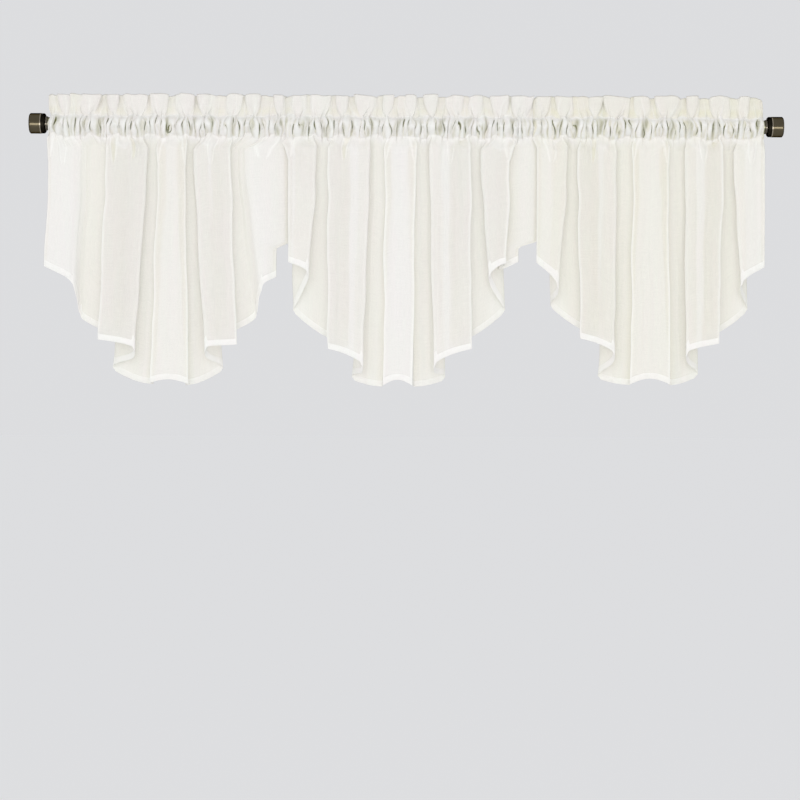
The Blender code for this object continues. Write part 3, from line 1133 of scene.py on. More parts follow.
    def _hem_line(self, run: Array) -> Array:
        """Hem of the pleats, arched a little across the middle face.

        Args:
            run: Places along the cloth.

        Returns:
            Height of the hem at each place.
        """
        hem = level_curve(*self._hem_knots(), run)
        crisp = [fold.turn is Turn.CRISP for fold in self.folds]
        for number in range(len(crisp) - 1):
            if crisp[number] and crisp[number + 1]:
                inside = clamp((run - self.path.run[number]) / self.path.widths[number])
                hem = hem + np.sin(math.pi * inside) * self.hem.arch
        return hem

    def _pocket_place(self, run: Array) -> Array:
        """Lays the cloth along the rod: faces where they show, hidden cloth drawn in.

        Args:
            run: Places along the cloth.

        Returns:
            The place along the rod of each.
        """
        path, least = self.path, self.hidden_share
        x, at = path.x_top, path.run
        knots = [(0.0, self.pocket_left)]
        for i in range(len(x) - 1):
            if x[i + 1] >= x[i]:
                continue
            if path.depth[i] < path.depth[i + 1]:
                later = min((x[i] - x[i + 1]) / (x[i + 2] - x[i + 1]), 1.0 - least)
                knots += [(at[i], x[i]), (mix(at[i + 1], at[i + 2], later), x[i])]
            else:
                early = max((x[i + 1] - x[i - 1]) / (x[i] - x[i - 1]), least)
                knots += [(mix(at[i - 1], at[i], early), x[i + 1]), (at[i + 1], x[i + 1])]
        knots.append((at[-1], self.pocket_right))
        knots.sort()
        held = np.interp(run, [knot[0] for knot in knots], [knot[1] for knot in knots])
        even = mix(self.pocket_left, self.pocket_right, run / at[-1])
        return mix(held, even, self.even_share)

    def _fold_marks(self, sizes: dict[Turn, tuple[float, float]]) -> Array:
        """Painted highlight or shade beside the folds, but for a rolled rear fold, which has none.

        Args:
            sizes: Strength and width of the mark at each turn that has one.

        Returns:
            Share of a mark that each column has, the strength at a fold's tip.
        """
        marks = np.zeros(len(self.run))
        for at, fold in zip(self.path.run, self.folds):
            if fold.turn not in sizes or (fold.turn is Turn.REAR and fold.roll > 0.0):
                continue
            strength, width = sizes[fold.turn]
            marks = np.maximum(marks, strength * bell(self.run - at, width))
        return marks

    def _plan_normal(self, x: Array, depth: Array) -> tuple[Array, Array]:
        """Works out which way the sheet faces in plan.

        Args:
            x: Place of each column.
            depth: Depth of each column.

        Returns:
            The direction out of the sheet's room side, and how far that side faces the room.
        """
        ahead = np.stack((np.gradient(x), np.gradient(depth)), axis=-1)
        turned = len(self.hem.side_columns)
        ahead[:turned] *= -1.0
        ahead[-turned:] *= -1.0
        ahead = unit(ahead)
        return np.stack((ahead[:, 1], -ahead[:, 0]), axis=-1), np.abs(ahead[:, 0])

    def _row(self, x: Array, y: Array, z: Array, *marks: Array | float) -> Array:
        """One row of the sheet, moved behind at the turned sides.

        Args:
            x: Place of each column.
            y: Depth of each column.
            z: Height of each column.
            marks: Painted highlight, painted shade, opening with its painted shade, and density.

        Returns:
            The points and their marks.
        """
        out, _ = self._plan_normal(x, y)
        x = x - out[:, 0] * self.behind
        y = y - out[:, 1] * self.behind
        return np.stack(np.broadcast_arrays(x, y, z, *marks), axis=-1)

    def _neck(self, away: Array | float) -> Array:
        """Sideways pull of the cloth towards the petals' bunches and the panel's middle.

        Args:
            away: Distance from the header's seam.

        Returns:
            The push in x at each column.
        """
        from_left = np.exp(-(self.place - self.pocket_left) / self.pull_reach)
        from_right = np.exp(-(self.pocket_right - self.place) / self.pull_reach)
        inwards = self.left_pull * from_left - self.right_pull * from_right
        bunched = self.neck_pull * np.sin(self.petals) * self.ends
        return bell(away, self.neck_reach) * (inwards - bunched)

    def _pocket_row(self, share: float, side: Side) -> Array:
        """Row of the pocket.

        Args:
            share: Share of the way down the pocket.
            side: Side of the rod that it is on.

        Returns:
            The row's points and marks.
        """
        gathers, place, phase = self.gathers, self.place, self.phase
        middle = math.sin(math.pi * share)
        turn = gathers.straying(self.turn, place, share, phase)
        swell = mix(gathers.seam_depth, gathers.pocket_depth, middle) * self.strength
        inside = smooth((self.pocket_right - place) / gathers.end_reach)
        swell = swell * mix(gathers.end_swell, 1.0, inside)
        lapped = self.lapped * (side is Side.ROOM)
        height = mix(self.top_seam, self.low_seam, share)
        x = place + gathers.slide(turn, self.strength) - lapped
        x = x + self._neck(self.top_seam - height)
        depth = self.pocket.depth(height, self.top_seam, self.low_seam)
        slit, lip = self.slits.open(share, turn, self)
        crumple = gathers.crumple(turn, place, share, phase) - self.slits.lip_height * lip
        ridge = 0.5 + 0.5 * gathers.crossing(turn, place, share, phase)
        y = side.value * (depth + swell * middle**gathers.swell_power)
        y = y - swell * (2.0 * ridge - 1.0) + crumple * middle**0.5
        y = y - self.pocket.ahead(share) - self.lap_depth * lapped
        # Painted highlight on ridges, lips and seam; painted shade in valleys, holes and slits
        painted_highlight, shade, bare_and_shaded = self.pocket_marks.marks(share, ridge, slit, lip, self)
        return self._row(x, y, height, painted_highlight, shade + self.panel_shade, bare_and_shaded, 1.0)

    def _header_row(self, share: float, side: Side) -> Array:
        """Row of the header.

        Args:
            share: Share of the way up the header.
            side: Which of the header's two layers it is on.

        Returns:
            The row's points and marks.
        """
        gathers, header = self.gathers, self.header
        place, phase, petals = self.place, self.phase, self.petals
        fine = (1.0 - smooth(share / header.gathered)) ** header.gathered_power
        broad = header.fanned(share)
        size = 1.0 + header.size_uneven * header.size_wave.at(place, phase)
        turn = self.turn + header.fan * share * header.fan_wave.at(place, phase)
        fan = header.broaden * np.sin(petals) + header.overhang * np.sin(2.0 * petals)
        lean = header.lean * header.lean_wave.at(place, phase) * share
        fan = fan * size * header.spread + lean
        x = place + gathers.slide(turn, self.strength) * fine + fan * broad * self.ends
        x = x + self._neck(share * (HEADER_TOP - HEADER_SEAM)) - self.lapped
        from_right = np.exp(-(self.pocket_right - place) / self.pull_reach)
        x = x - self.top_pull * share * from_right
        y = -gathers.seam_depth * self.strength * gathers.wave(turn) * fine
        narrowed = mix(header.end_depth, 1.0, self.ends)
        y = y - header.petal_depth * size * np.cos(petals) * broad * narrowed
        gap = self.pocket.seam_gap + header.layer_gap * math.sin(math.pi * share)
        vein = header.vein(share, self)
        y = y + side.value * gap - header.vein_depth * vein - self.lap_depth * self.lapped
        _, facing = self._plan_normal(x, y)
        # Painted highlight where the cloth turns edge-on and on veins; painted shade between the
        # petals
        painted_highlight = smooth(1.0 - facing / header.turned_highlight)
        painted_highlight = np.maximum(painted_highlight, vein * header.vein_highlight)
        valley = (0.5 - 0.5 * np.cos(petals)) ** 2
        hollow = bell(share - header.hollow_at, header.hollow_reach)
        hollow = hollow * clamp(valley * size * header.hollow_size)
        shade = np.maximum(valley * header.valley_shade * broad, header.hollow_shade * hollow)
        shade = self.recess_shade * shade + self.panel_shade
        height = mix(self.top_seam, header.top(petals, size, self), share)
        return self._row(x, y, height, painted_highlight, shade, 0.0, self.loose_dense * fine)

    def _skirt_row(self, height: Array, behind: float = 0.0) -> Array:
        """Row of the skirt.

        Args:
            height: Height of each column.
            behind: How far behind the sheet the row lies, as in a turned hem.

        Returns:
            The row's points and marks.
        """
        gathers = self.gathers
        drop = self.low_seam - height
        opening = smooth(drop / self.skirt.opening_drop)
        held = self.skirt.held(drop, self)
        pleat = self.path.plan(self.segment, self.share, height)
        x = self.place + gathers.slide(self.turn, self.strength) * held
        y = -self.pocket.seam_gap - self.pocket.seam_ahead
        y = y - gathers.seam_depth * self.strength * gathers.wave(self.turn) * held
        x = mix(x - self.lapped, pleat[:, 0], opening)
        y = mix(y - self.lap_depth * self.lapped, pleat[:, 1], opening)
        # Painted highlight beside folds and on pucker rims; painted shade inside pucker hollows
        painted_highlight, hollow = self.fold_marks, np.zeros(len(self.run))
        for pucker in self.puckers:
            width = self.path.widths[pucker.segment]
            middle = self.path.run[pucker.segment] + pucker.share * width
            x_push, y_push = pucker.push(self.run - middle, height)
            rim, inside = pucker.marks(self.run - middle, height)
            x, y = x + x_push, y + y_push
            painted_highlight, hollow = np.maximum(painted_highlight, rim), np.maximum(hollow, inside)
        out, _ = self._plan_normal(x, y)
        relief = self.skirt.ripples(drop, self)
        for crease in self.creases:
            lift = crease.lift(self.share, height, self.path.widths[crease.segment])
            relief = relief + (self.segment == crease.segment) * lift
        lift = relief - behind - self.behind
        x = x + out[:, 0] * lift
        y = y + out[:, 1] * lift
        # Painted shade of the pleats, with the panel's own painted shade over it
        shade = np.maximum(self.skirt.shade(drop, y, self), hollow) + self.panel_shade
        marks = (painted_highlight, shade, 0.0, self.loose_dense * held)
        return np.stack(np.broadcast_arrays(x, y, height, *marks), axis=-1)

    def rows(self) -> list[Array]:
        """Builds the rows of the sheet in the order in which the cloth runs.

        Returns:
            The points and marks of each row.
        """
        grid, hem = self.grid, self.hem
        back, front = even_shares(grid.back_rows), even_shares(grid.pocket_rows)
        ruffle = even_shares(grid.header_rows)
        rows = [self._pocket_row(1.0 - share, Side.BACK) for share in back]
        rows += [self._header_row(share, Side.BACK) for share in ruffle]
        rows += [self._header_row(1.0 - share, Side.ROOM) for share in ruffle]
        rows += [self._pocket_row(share, Side.ROOM) for share in front]
        band = hem.width * self.hem_slant
        fall = self.low_seam - (self.hem_line + band)
        for step in range(grid.skirt_rows):
            share = (step / (grid.skirt_rows - 1)) ** grid.skirt_power
            rows.append(self._skirt_row(self.low_seam - fall * share))
        fold = (0.0,)
        turned = ((hem.front_rows, 0.0), (fold, 0.5), (hem.back_rows, 1.0), (hem.tucked_rows, 0.5))
        for shares, layers in turned:
            for share in shares:
                rows.append(self._skirt_row(self.hem_line + band * share, layers * hem.layer))
        return rows

    def build(self, finish: "VoileFinish") -> bpy.types.Object:
        """Builds the panel's sheet.

        Args:
            finish: The cloth's finish.

        Returns:
            The panel's object, in place.
        """
        rows = np.stack(self.rows())
        points = rows[..., :3] * MM
        steps_down = np.linalg.norm(np.diff(points, axis=0), axis=-1).mean(axis=1)
        down = np.concatenate(([0.0], np.cumsum(steps_down)))
        weave = np.stack(np.broadcast_arrays(self.run[None, :] * MM, down[:, None]), axis=-1)
        # Marks: painted highlight, painted shade, opening with its painted shade, and density
        names = ("painted_highlight", "shade", "bare_and_shaded", "dense")
        marks = {name: rows[..., 3 + number] for number, name in enumerate(names)}
        marks["hem"] = np.zeros(rows.shape[:2])
        marks["hem"][-self.hem.row_count:] = 1.0
        panel = sheet_object(self.node + "_voile", points, weave, marks)
        panel.data.materials.append(finish.build())
        stand_in(panel, self.node)
        return panel


def add_object(name: str, data: bpy.types.ID) -> bpy.types.Object:
    """Puts a new object into the scene, at the origin.

    Args:
        name: Name of the object.
        data: Its mesh, lamp or camera.

    Returns:
        The object.
    """
    made = bpy.data.objects.new(name, data)
    bpy.context.scene.collection.objects.link(made)
    return made


def stand_in(piece: bpy.types.Object, node: str) -> None:
    """Lets a piece stand for a CAD node.

    Args:
        piece: The piece.
        node: Name of the node that it replaces.
    """
    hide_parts(node)
    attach(piece, "root")


def sheet_object(name: str, rows: Array, weave: Array, marks: dict[str, Array]) -> bpy.types.Object:
    """Grid of cloth whose points are set row by row.

    Args:
        name: Name of the object.
        rows: Points of the sheet, rows by columns, in metres.
        weave: Place of each point in the flat cloth, in metres, for the weave.
        marks: Named values of each point that the finish reads.

    Returns:
        The sheet as an object.
    """
    row_count, column_count = rows.shape[:2]
    mesh = bmesh.new()
    bmesh.ops.create_grid(mesh, x_segments=column_count - 1, y_segments=row_count - 1, size=1.0)
    data = bpy.data.meshes.new(name)
    mesh.to_mesh(data)
    mesh.free()
    flat = np.empty(len(data.vertices) * 3, np.float32)
    data.vertices.foreach_get("co", flat)
    flat = flat.reshape(-1, 3)
    column = np.rint((flat[:, 0] + 1.0) / 2.0 * (column_count - 1)).astype(int)
    row = np.rint((1.0 - flat[:, 1]) / 2.0 * (row_count - 1)).astype(int)
    data.vertices.foreach_set("co", rows[row, column].astype(np.float32).ravel())
    corners = np.empty(len(data.loops), np.int32)
    data.loops.foreach_get("vertex_index", corners)
    layer = data.uv_layers.new(name="weave")
    layer.uv.foreach_set("vector", weave[row, column][corners].astype(np.float32).ravel())
    for mark, values in marks.items():
        attribute = data.attributes.new(mark, "FLOAT", "POINT")
        attribute.data.foreach_set("value", values[row, column].astype(np.float32))
    data.shade_smooth()
    data.update()
    return add_object(name, data)


class NodeSheet:
    """Short hand for a material's nodes and the links between them."""

    def __init__(self, name: str) -> None:
        """Starts an empty material.

        Args:
            name: Name of the material.
        """
        self.material = bpy.data.materials.new(name)
        self.material.use_nodes = True
        self.nodes = self.material.node_tree.nodes
        self.links = self.material.node_tree.links
        self.nodes.clear()
        self.output = self.nodes.new("ShaderNodeOutputMaterial")

    def add(self, kind: str, inputs: dict | None = None, **settings: object) -> bpy.types.Node:
        """Adds a node.

        Args:
            kind: Node type without its ShaderNode prefix.
            inputs: Values or sockets for its inputs, by name or number.
            settings: Properties of the node.

        Returns:
            The node.
        """
        node = self.nodes.new("ShaderNode" + kind)
        for key, value in settings.items():
            setattr(node, key, value)
        for key, value in (inputs or {}).items():
            if isinstance(value, bpy.types.NodeSocket):
                self.links.new(value, node.inputs[key])
            else:
                node.inputs[key].default_value = value
        return node

    def math(self, operation: str, first: object, second: object = 0.0) -> bpy.types.NodeSocket:
        """Result of a math node on two values or sockets."""
        return self.add("Math", {0: first, 1: second}, operation=operation).outputs[0]

    def mark(self, name: str, share: float) -> bpy.types.NodeSocket:
        """Share of one of the mesh's marks."""
        mark = self.add("Attribute", attribute_name=name).outputs["Fac"]
        return self.math("MULTIPLY", mark, share)

    def noise(
            self, place: bpy.types.NodeSocket, stretch: tuple[float, float, float] | float,
            detail: float) -> bpy.types.NodeSocket:
        """Noise over the surface.

        Args:
            place: Coordinates to read it at.
            stretch: Its scale, one number or one for each axis.
            detail: Its detail.

        Returns:
            The noise's value.
        """
        if isinstance(stretch, tuple):
            place = self.add("Mapping", {"Vector": place, "Scale": stretch}).outputs[0]
            stretch = 1.0
        inputs = {"Vector": place, "Scale": stretch, "Detail": detail}
        return self.add("TexNoise", inputs).outputs[0]

    def blend(
            self, share: object, first: object, second: object,
            how: str = "MIX") -> bpy.types.NodeSocket:
        """Colour between two others.

        Args:
            share: Share of the second colour.
            first: First colour or socket.
            second: Second colour or socket.
            how: The way the two are blended.

        Returns:
            The blended colour.
        """
        inputs = {0: share, "A": first, "B": second}
        return self.add("Mix", inputs, data_type="RGBA", blend_type=how).outputs["Result"]

    def finish(self, shader: bpy.types.NodeSocket) -> bpy.types.Material:
        """Links the surface and hands the material over."""
        self.links.new(shader, self.output.inputs["Surface"])
        return self.material


@dataclass(frozen=True)
class Finish:
    """A finish that is made at its first use, and then shared by the pieces that wear it."""

    name: str

    def build(self) -> bpy.types.Material:
        """Hands out the finish's material."""
        return bpy.data.materials.get(self.name) or self.make(NodeSheet(self.name))

    def make(self, sheet: NodeSheet) -> bpy.types.Material:
        """Lays out the finish's nodes, each kind of finish in its own way."""
        raise NotImplementedError


@dataclass(frozen=True)
class VoileFinish(Finish):
    """Fine plain-woven sheer ivory voile: painted highlights on folds, painted shade in recesses.
    """

    name: str = "voile_weave"
    warm: Colour = (0.918, 0.892, 0.862, 1.0)
    cool: Colour = (0.918, 0.898, 0.884, 1.0)
    # Colour of the painted highlights, and of the hem's whitening
    edge: Colour = (0.985, 0.978, 0.965, 1.0)
    # Colour of the painted shade in recesses and hollows
    shade_olive: Colour = (0.866, 0.84, 0.70, 1.0)
    # Colour of the painted shade in the pocket's slits, holes and patches
    slit: Colour = (0.16, 0.18, 0.03, 1.0)
    blush: Colour = (1.0, 0.99, 0.98, 1.0)
    sage: Colour = (0.988, 1.0, 0.976, 1.0)
    through: Colour = (0.95, 0.94, 0.88, 1.0)
    drift: float = 5.0
    drift_share: float = 0.7
    tint_streaks: tuple[float, float, float] = (55.0, 55.0, 7.0)
    tint_range: tuple[float, float] = (0.36, 0.64)
    # Shares of painted shade, painted highlight, the hem's whitening and the slits' painted shade
    shaded: float = 0.62
    painted_highlight: float = 0.8
    # The hem is whiter as doubled cloth, and as painted light on hems that lie in shade
    hem_white: float = 0.65
    slit_shade_share: float = 0.97
    thread: float = 0.00045
    thread_height: float = 0.0003
    thread_strength: float = 0.25
    thread_gaps: float = 0.06
    yarns: tuple[tuple[float, float, float], ...] = ((1100.0, 45.0, 1.0), (40.0, 900.0, 1.0))
    yarn_rough: float = 0.1
    yarn_cover: float = 0.25
    cover: float = 0.83
    highlight_cover: float = 0.17
    hem_cover: float = 0.15
    dense_cover: float = 0.17
    bare_cover: float = 0.5
    glow: float = 0.2
    dense_glow: float = 0.06
    hem_glow: float = 0.11
    sheen: float = 0.12
    sheen_rough: float = 0.45
    specular: float = 0.2
    roughness: float = 0.78

    def make(self, sheet: NodeSheet) -> bpy.types.Material:
        """Lays out the cloth: woven and a little glossy, lit from behind, and sheer.

        Args:
            sheet: The empty material.

        Returns:
            The material.
        """
        weave = sheet.add("UVMap", uv_map="weave").outputs["UV"]
        threads, slubs = self._weave(sheet, weave)
        colour = self._colour(sheet, slubs)
        bump = sheet.add("Bump", {
            "Strength": self.thread_strength, "Distance": self.thread_height, "Height": threads})
        uneven = sheet.math("MULTIPLY", slubs, self.yarn_rough)
        cloth = sheet.add("BsdfPrincipled", {
            "Base Color": colour, "Roughness": sheet.math("ADD", self.roughness, uneven),
            "Sheen Weight": self.sheen, "Sheen Roughness": self.sheen_rough,
            "Specular IOR Level": self.specular, "Normal": bump.outputs[0]})
        lit = sheet.add("BsdfTranslucent", {"Color": self.through})
        dense, hem = sheet.mark("dense", self.dense_glow), sheet.mark("hem", self.hem_glow)
        glow = sheet.math("SUBTRACT", self.glow, sheet.math("MAXIMUM", dense, hem))
        body = sheet.add("MixShader", {0: glow, 1: cloth.outputs[0], 2: lit.outputs[0]})
        clear = sheet.add("BsdfTransparent")
        cover = self._cover(sheet, threads, slubs)
        sheer = sheet.add("MixShader", {0: cover, 1: clear.outputs[0], 2: body.outputs[0]})
        return sheet.finish(sheer.outputs[0])

    def _weave(
            self, sheet: NodeSheet,
            weave: bpy.types.NodeSocket) -> tuple[bpy.types.NodeSocket, bpy.types.NodeSocket]:
        """Lays out the plain weave.

        Args:
            sheet: The material's nodes.
            weave: Place in the flat cloth.

        Returns:
            Height of the crossing threads, and the uneven thickness of the yarn.
        """
        split = sheet.add("SeparateXYZ", {0: weave})
        bands = []
        for axis in (0, 1):
            turn = sheet.math("MULTIPLY", split.outputs[axis], 1.0 / self.thread * TAU)
            bands.append(sheet.math("SINE", turn))
        warp, weft = (sheet.noise(weave, yarn, detail=3.0) for yarn in self.yarns)
        slubs = sheet.math("MULTIPLY", sheet.math("ADD", warp, weft), 0.5)
        return sheet.math("MULTIPLY", *bands), slubs

    def _colour(self, sheet: NodeSheet, slubs: bpy.types.NodeSocket) -> bpy.types.NodeSocket:
        """Ivory between warm and cool, painted highlight on folds, painted shade in recesses.

        Args:
            sheet: The material's nodes.
            slubs: Uneven thickness of the yarn.

        Returns:
            The colour.
        """
        place = sheet.add("TexCoord").outputs["Object"]
        drift = sheet.noise(place, self.drift, detail=2.0)
        drift = sheet.math("MULTIPLY", drift, self.drift_share)
        slubs = sheet.math("MULTIPLY", slubs, 1.0 - self.drift_share)
        ivory = sheet.blend(sheet.math("ADD", drift, slubs), self.warm, self.cool)
        # Painted shade in recesses and hollows, then painted highlight and the hem's whitening
        recess_shade = sheet.blend(sheet.mark("shade", self.shaded), ivory, self.shade_olive)
        painted_highlight = sheet.math(
            "MAXIMUM", sheet.mark("painted_highlight", self.painted_highlight), sheet.mark("hem", self.hem_white))
        edged = sheet.blend(painted_highlight, recess_shade, self.edge)
        low, high = self.tint_range
        streaks = sheet.noise(place, self.tint_streaks, detail=2.0)
        streaks = sheet.add("MapRange", {"Value": streaks, "From Min": low, "From Max": high})
        tint = sheet.blend(streaks.outputs[0], self.blush, self.sage)
        tinted = sheet.blend(1.0, edged, tint, how="MULTIPLY")
        # Painted shade in the pocket's slits, holes and patches
        return sheet.blend(sheet.mark("bare_and_shaded", self.slit_shade_share), tinted, self.slit)

    def _cover(
            self, sheet: NodeSheet, threads: bpy.types.NodeSocket,
            slubs: bpy.types.NodeSocket) -> bpy.types.NodeSocket:
        """Share of the view that the cloth hides: more at folds, less in the pocket's slits.

        Args:
            sheet: The material's nodes.
            threads: Height of the crossing threads.
            slubs: Uneven thickness of the yarn.

        Returns:
            The share.
        """
        uneven = sheet.math("MULTIPLY", sheet.math("SUBTRACT", slubs, 0.5), self.yarn_cover)
        gaps = sheet.math("MULTIPLY", threads, self.thread_gaps)
        dense = sheet.math(
            "MAXIMUM", sheet.mark("painted_highlight", self.highlight_cover), sheet.mark("hem", self.hem_cover))
        dense = sheet.math("MAXIMUM", dense, sheet.mark("dense", self.dense_cover))
        cover = sheet.math("ADD", sheet.math("ADD", uneven, gaps), self.cover)
        cover = sheet.math("ADD", cover, dense)
        cover = sheet.math("SUBTRACT", cover, sheet.mark("bare_and_shaded", self.bare_cover))
        return sheet.add("Clamp", {"Value": cover}).outputs[0]


@dataclass(frozen=True)
class BronzeFinish(Finish):
    """Dark satin bronze, with brushed streaks along the rod and a little worn lustre."""

    dark: Colour
    light: Colour
    streaks: tuple[float, float, float] = (4.0, 320.0, 320.0)
    roughness: float = 0.3
    grazing: Colour = (0.12, 0.105, 0.08, 1.0)
    clouds: float = 90.0
    rough_range: tuple[float, float] = (-0.06, 0.08)
    scratch_depth: float = 0.0002
    scratch_strength: float = 0.12

    def make(self, sheet: NodeSheet) -> bpy.types.Material:
        """Lays out the metal.

        Args:
            sheet: The empty material.

        Returns:
            The material.
        """
        place = sheet.add("TexCoord").outputs["Object"]
        brushed = sheet.noise(place, self.streaks, detail=4.0)
        share = sheet.math("ADD", brushed, sheet.noise(place, self.clouds, detail=2.0))
        colour = sheet.blend(sheet.math("MULTIPLY", share, 0.5), self.dark, self.light)
        low, high = self.rough_range
        uneven = sheet.math("MULTIPLY", brushed, high - low)
        bump = sheet.add("Bump", {
            "Strength": self.scratch_strength, "Distance": self.scratch_depth, "Height": brushed})
        metal = sheet.add("BsdfPrincipled", {
            "Base Color": colour, "Metallic": 1.0,
            "Roughness": sheet.math("ADD", self.roughness + low, uneven),
            "Specular Tint": self.grazing, "Normal": bump.outputs[0]})
        return sheet.finish(metal.outputs[0])


@dataclass(frozen=True)
class PaperFinish(Finish):
    """Plain matt paper."""

    pale: Colour

    def make(self, sheet: NodeSheet) -> bpy.types.Material:
        """Lays out the paper."""
        paper = sheet.add("BsdfDiffuse", {"Color": self.pale, "Roughness": 0.0})
        return sheet.finish(paper.outputs[0])


ROD_STEEL = BronzeFinish(
    "rod_steel", dark=(0.17, 0.165, 0.085, 1.0), light=(0.27, 0.26, 0.15, 1.0), roughness=0.24)
CAP_BRONZE = BronzeFinish(
    "cap_bronze", dark=(0.07, 0.058, 0.035, 1.0), light=(0.125, 0.106, 0.07, 1.0),
    streaks=(30.0, 60.0, 60.0), roughness=0.2)
CAP_RING_DARK = BronzeFinish(
    "cap_ring_dark", dark=(0.008, 0.007, 0.005, 1.0), light=(0.02, 0.017, 0.012, 1.0),
    streaks=(30.0, 60.0, 60.0), roughness=0.4)
# Lighter metal, a painted highlight, on the rim beside the groove and on the thread's crests
CAP_EDGE_GLINT = BronzeFinish(
    "cap_edge_glint", dark=(0.22, 0.19, 0.14, 1.0), light=(0.46, 0.41, 0.33, 1.0),
    streaks=(90.0, 200.0, 200.0), roughness=0.25)


MERGE_WITHIN = 0.01 * MM
SHARP_ANGLE = math.radians(35.0)


def turned_object(name: str, outline: list[tuple[float, float]], sides: int) -> bpy.types.Object:
    """Closed round piece, turned about the rod's axis.

    Args:
        name: Name of the object.
        outline: x and radius of each point of half the profile, in millimetres.
        sides: Sides of the round piece.

    Returns:
        The piece as an object, shaded smooth but for its sharp rims.
    """
    mesh = bmesh.new()
    verts = [mesh.verts.new(Vector((x, 0.0, radius)) * MM) for x, radius in outline]
    edges = [mesh.edges.new(pair) for pair in zip(verts, verts[1:])]
    bmesh.ops.spin(
        mesh, geom=verts + edges, cent=(0.0, 0.0, 0.0), axis=(1.0, 0.0, 0.0),
        angle=TAU, steps=sides, use_merge=True)
    bmesh.ops.remove_doubles(mesh, verts=mesh.verts, dist=MERGE_WITHIN)
    bmesh.ops.recalc_face_normals(mesh, faces=mesh.faces)
    data = bpy.data.meshes.new(name)
    mesh.to_mesh(data)
    mesh.free()
    data.shade_smooth()
    data.set_sharp_from_angle(angle=SHARP_ANGLE)
    return add_object(name, data)


@dataclass
class CurtainRod:
    """The round rod inside the pockets."""

    radius: float = ROD_RADIUS
    sides: int = 96
    edge: float = 0.6
    finish: BronzeFinish = ROD_STEEL

    def build(self) -> bpy.types.Object:
        """Builds the rod over its node's length.

        Returns:
            The rod's object, in place.
        """
        low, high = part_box("rod")
        left, right = low[0] / MM, high[0] / MM
        inner = self.radius - self.edge
        outline = [(left, 0.0), (left, inner), (left + self.edge, self.radius)]
        outline += [(right - self.edge, self.radius), (right, inner), (right, 0.0)]
        rod = turned_object("curtain_rod", outline, self.sides)
        rod.data.materials.append(self.finish.build())
        stand_in(rod, "rod")
        return rod


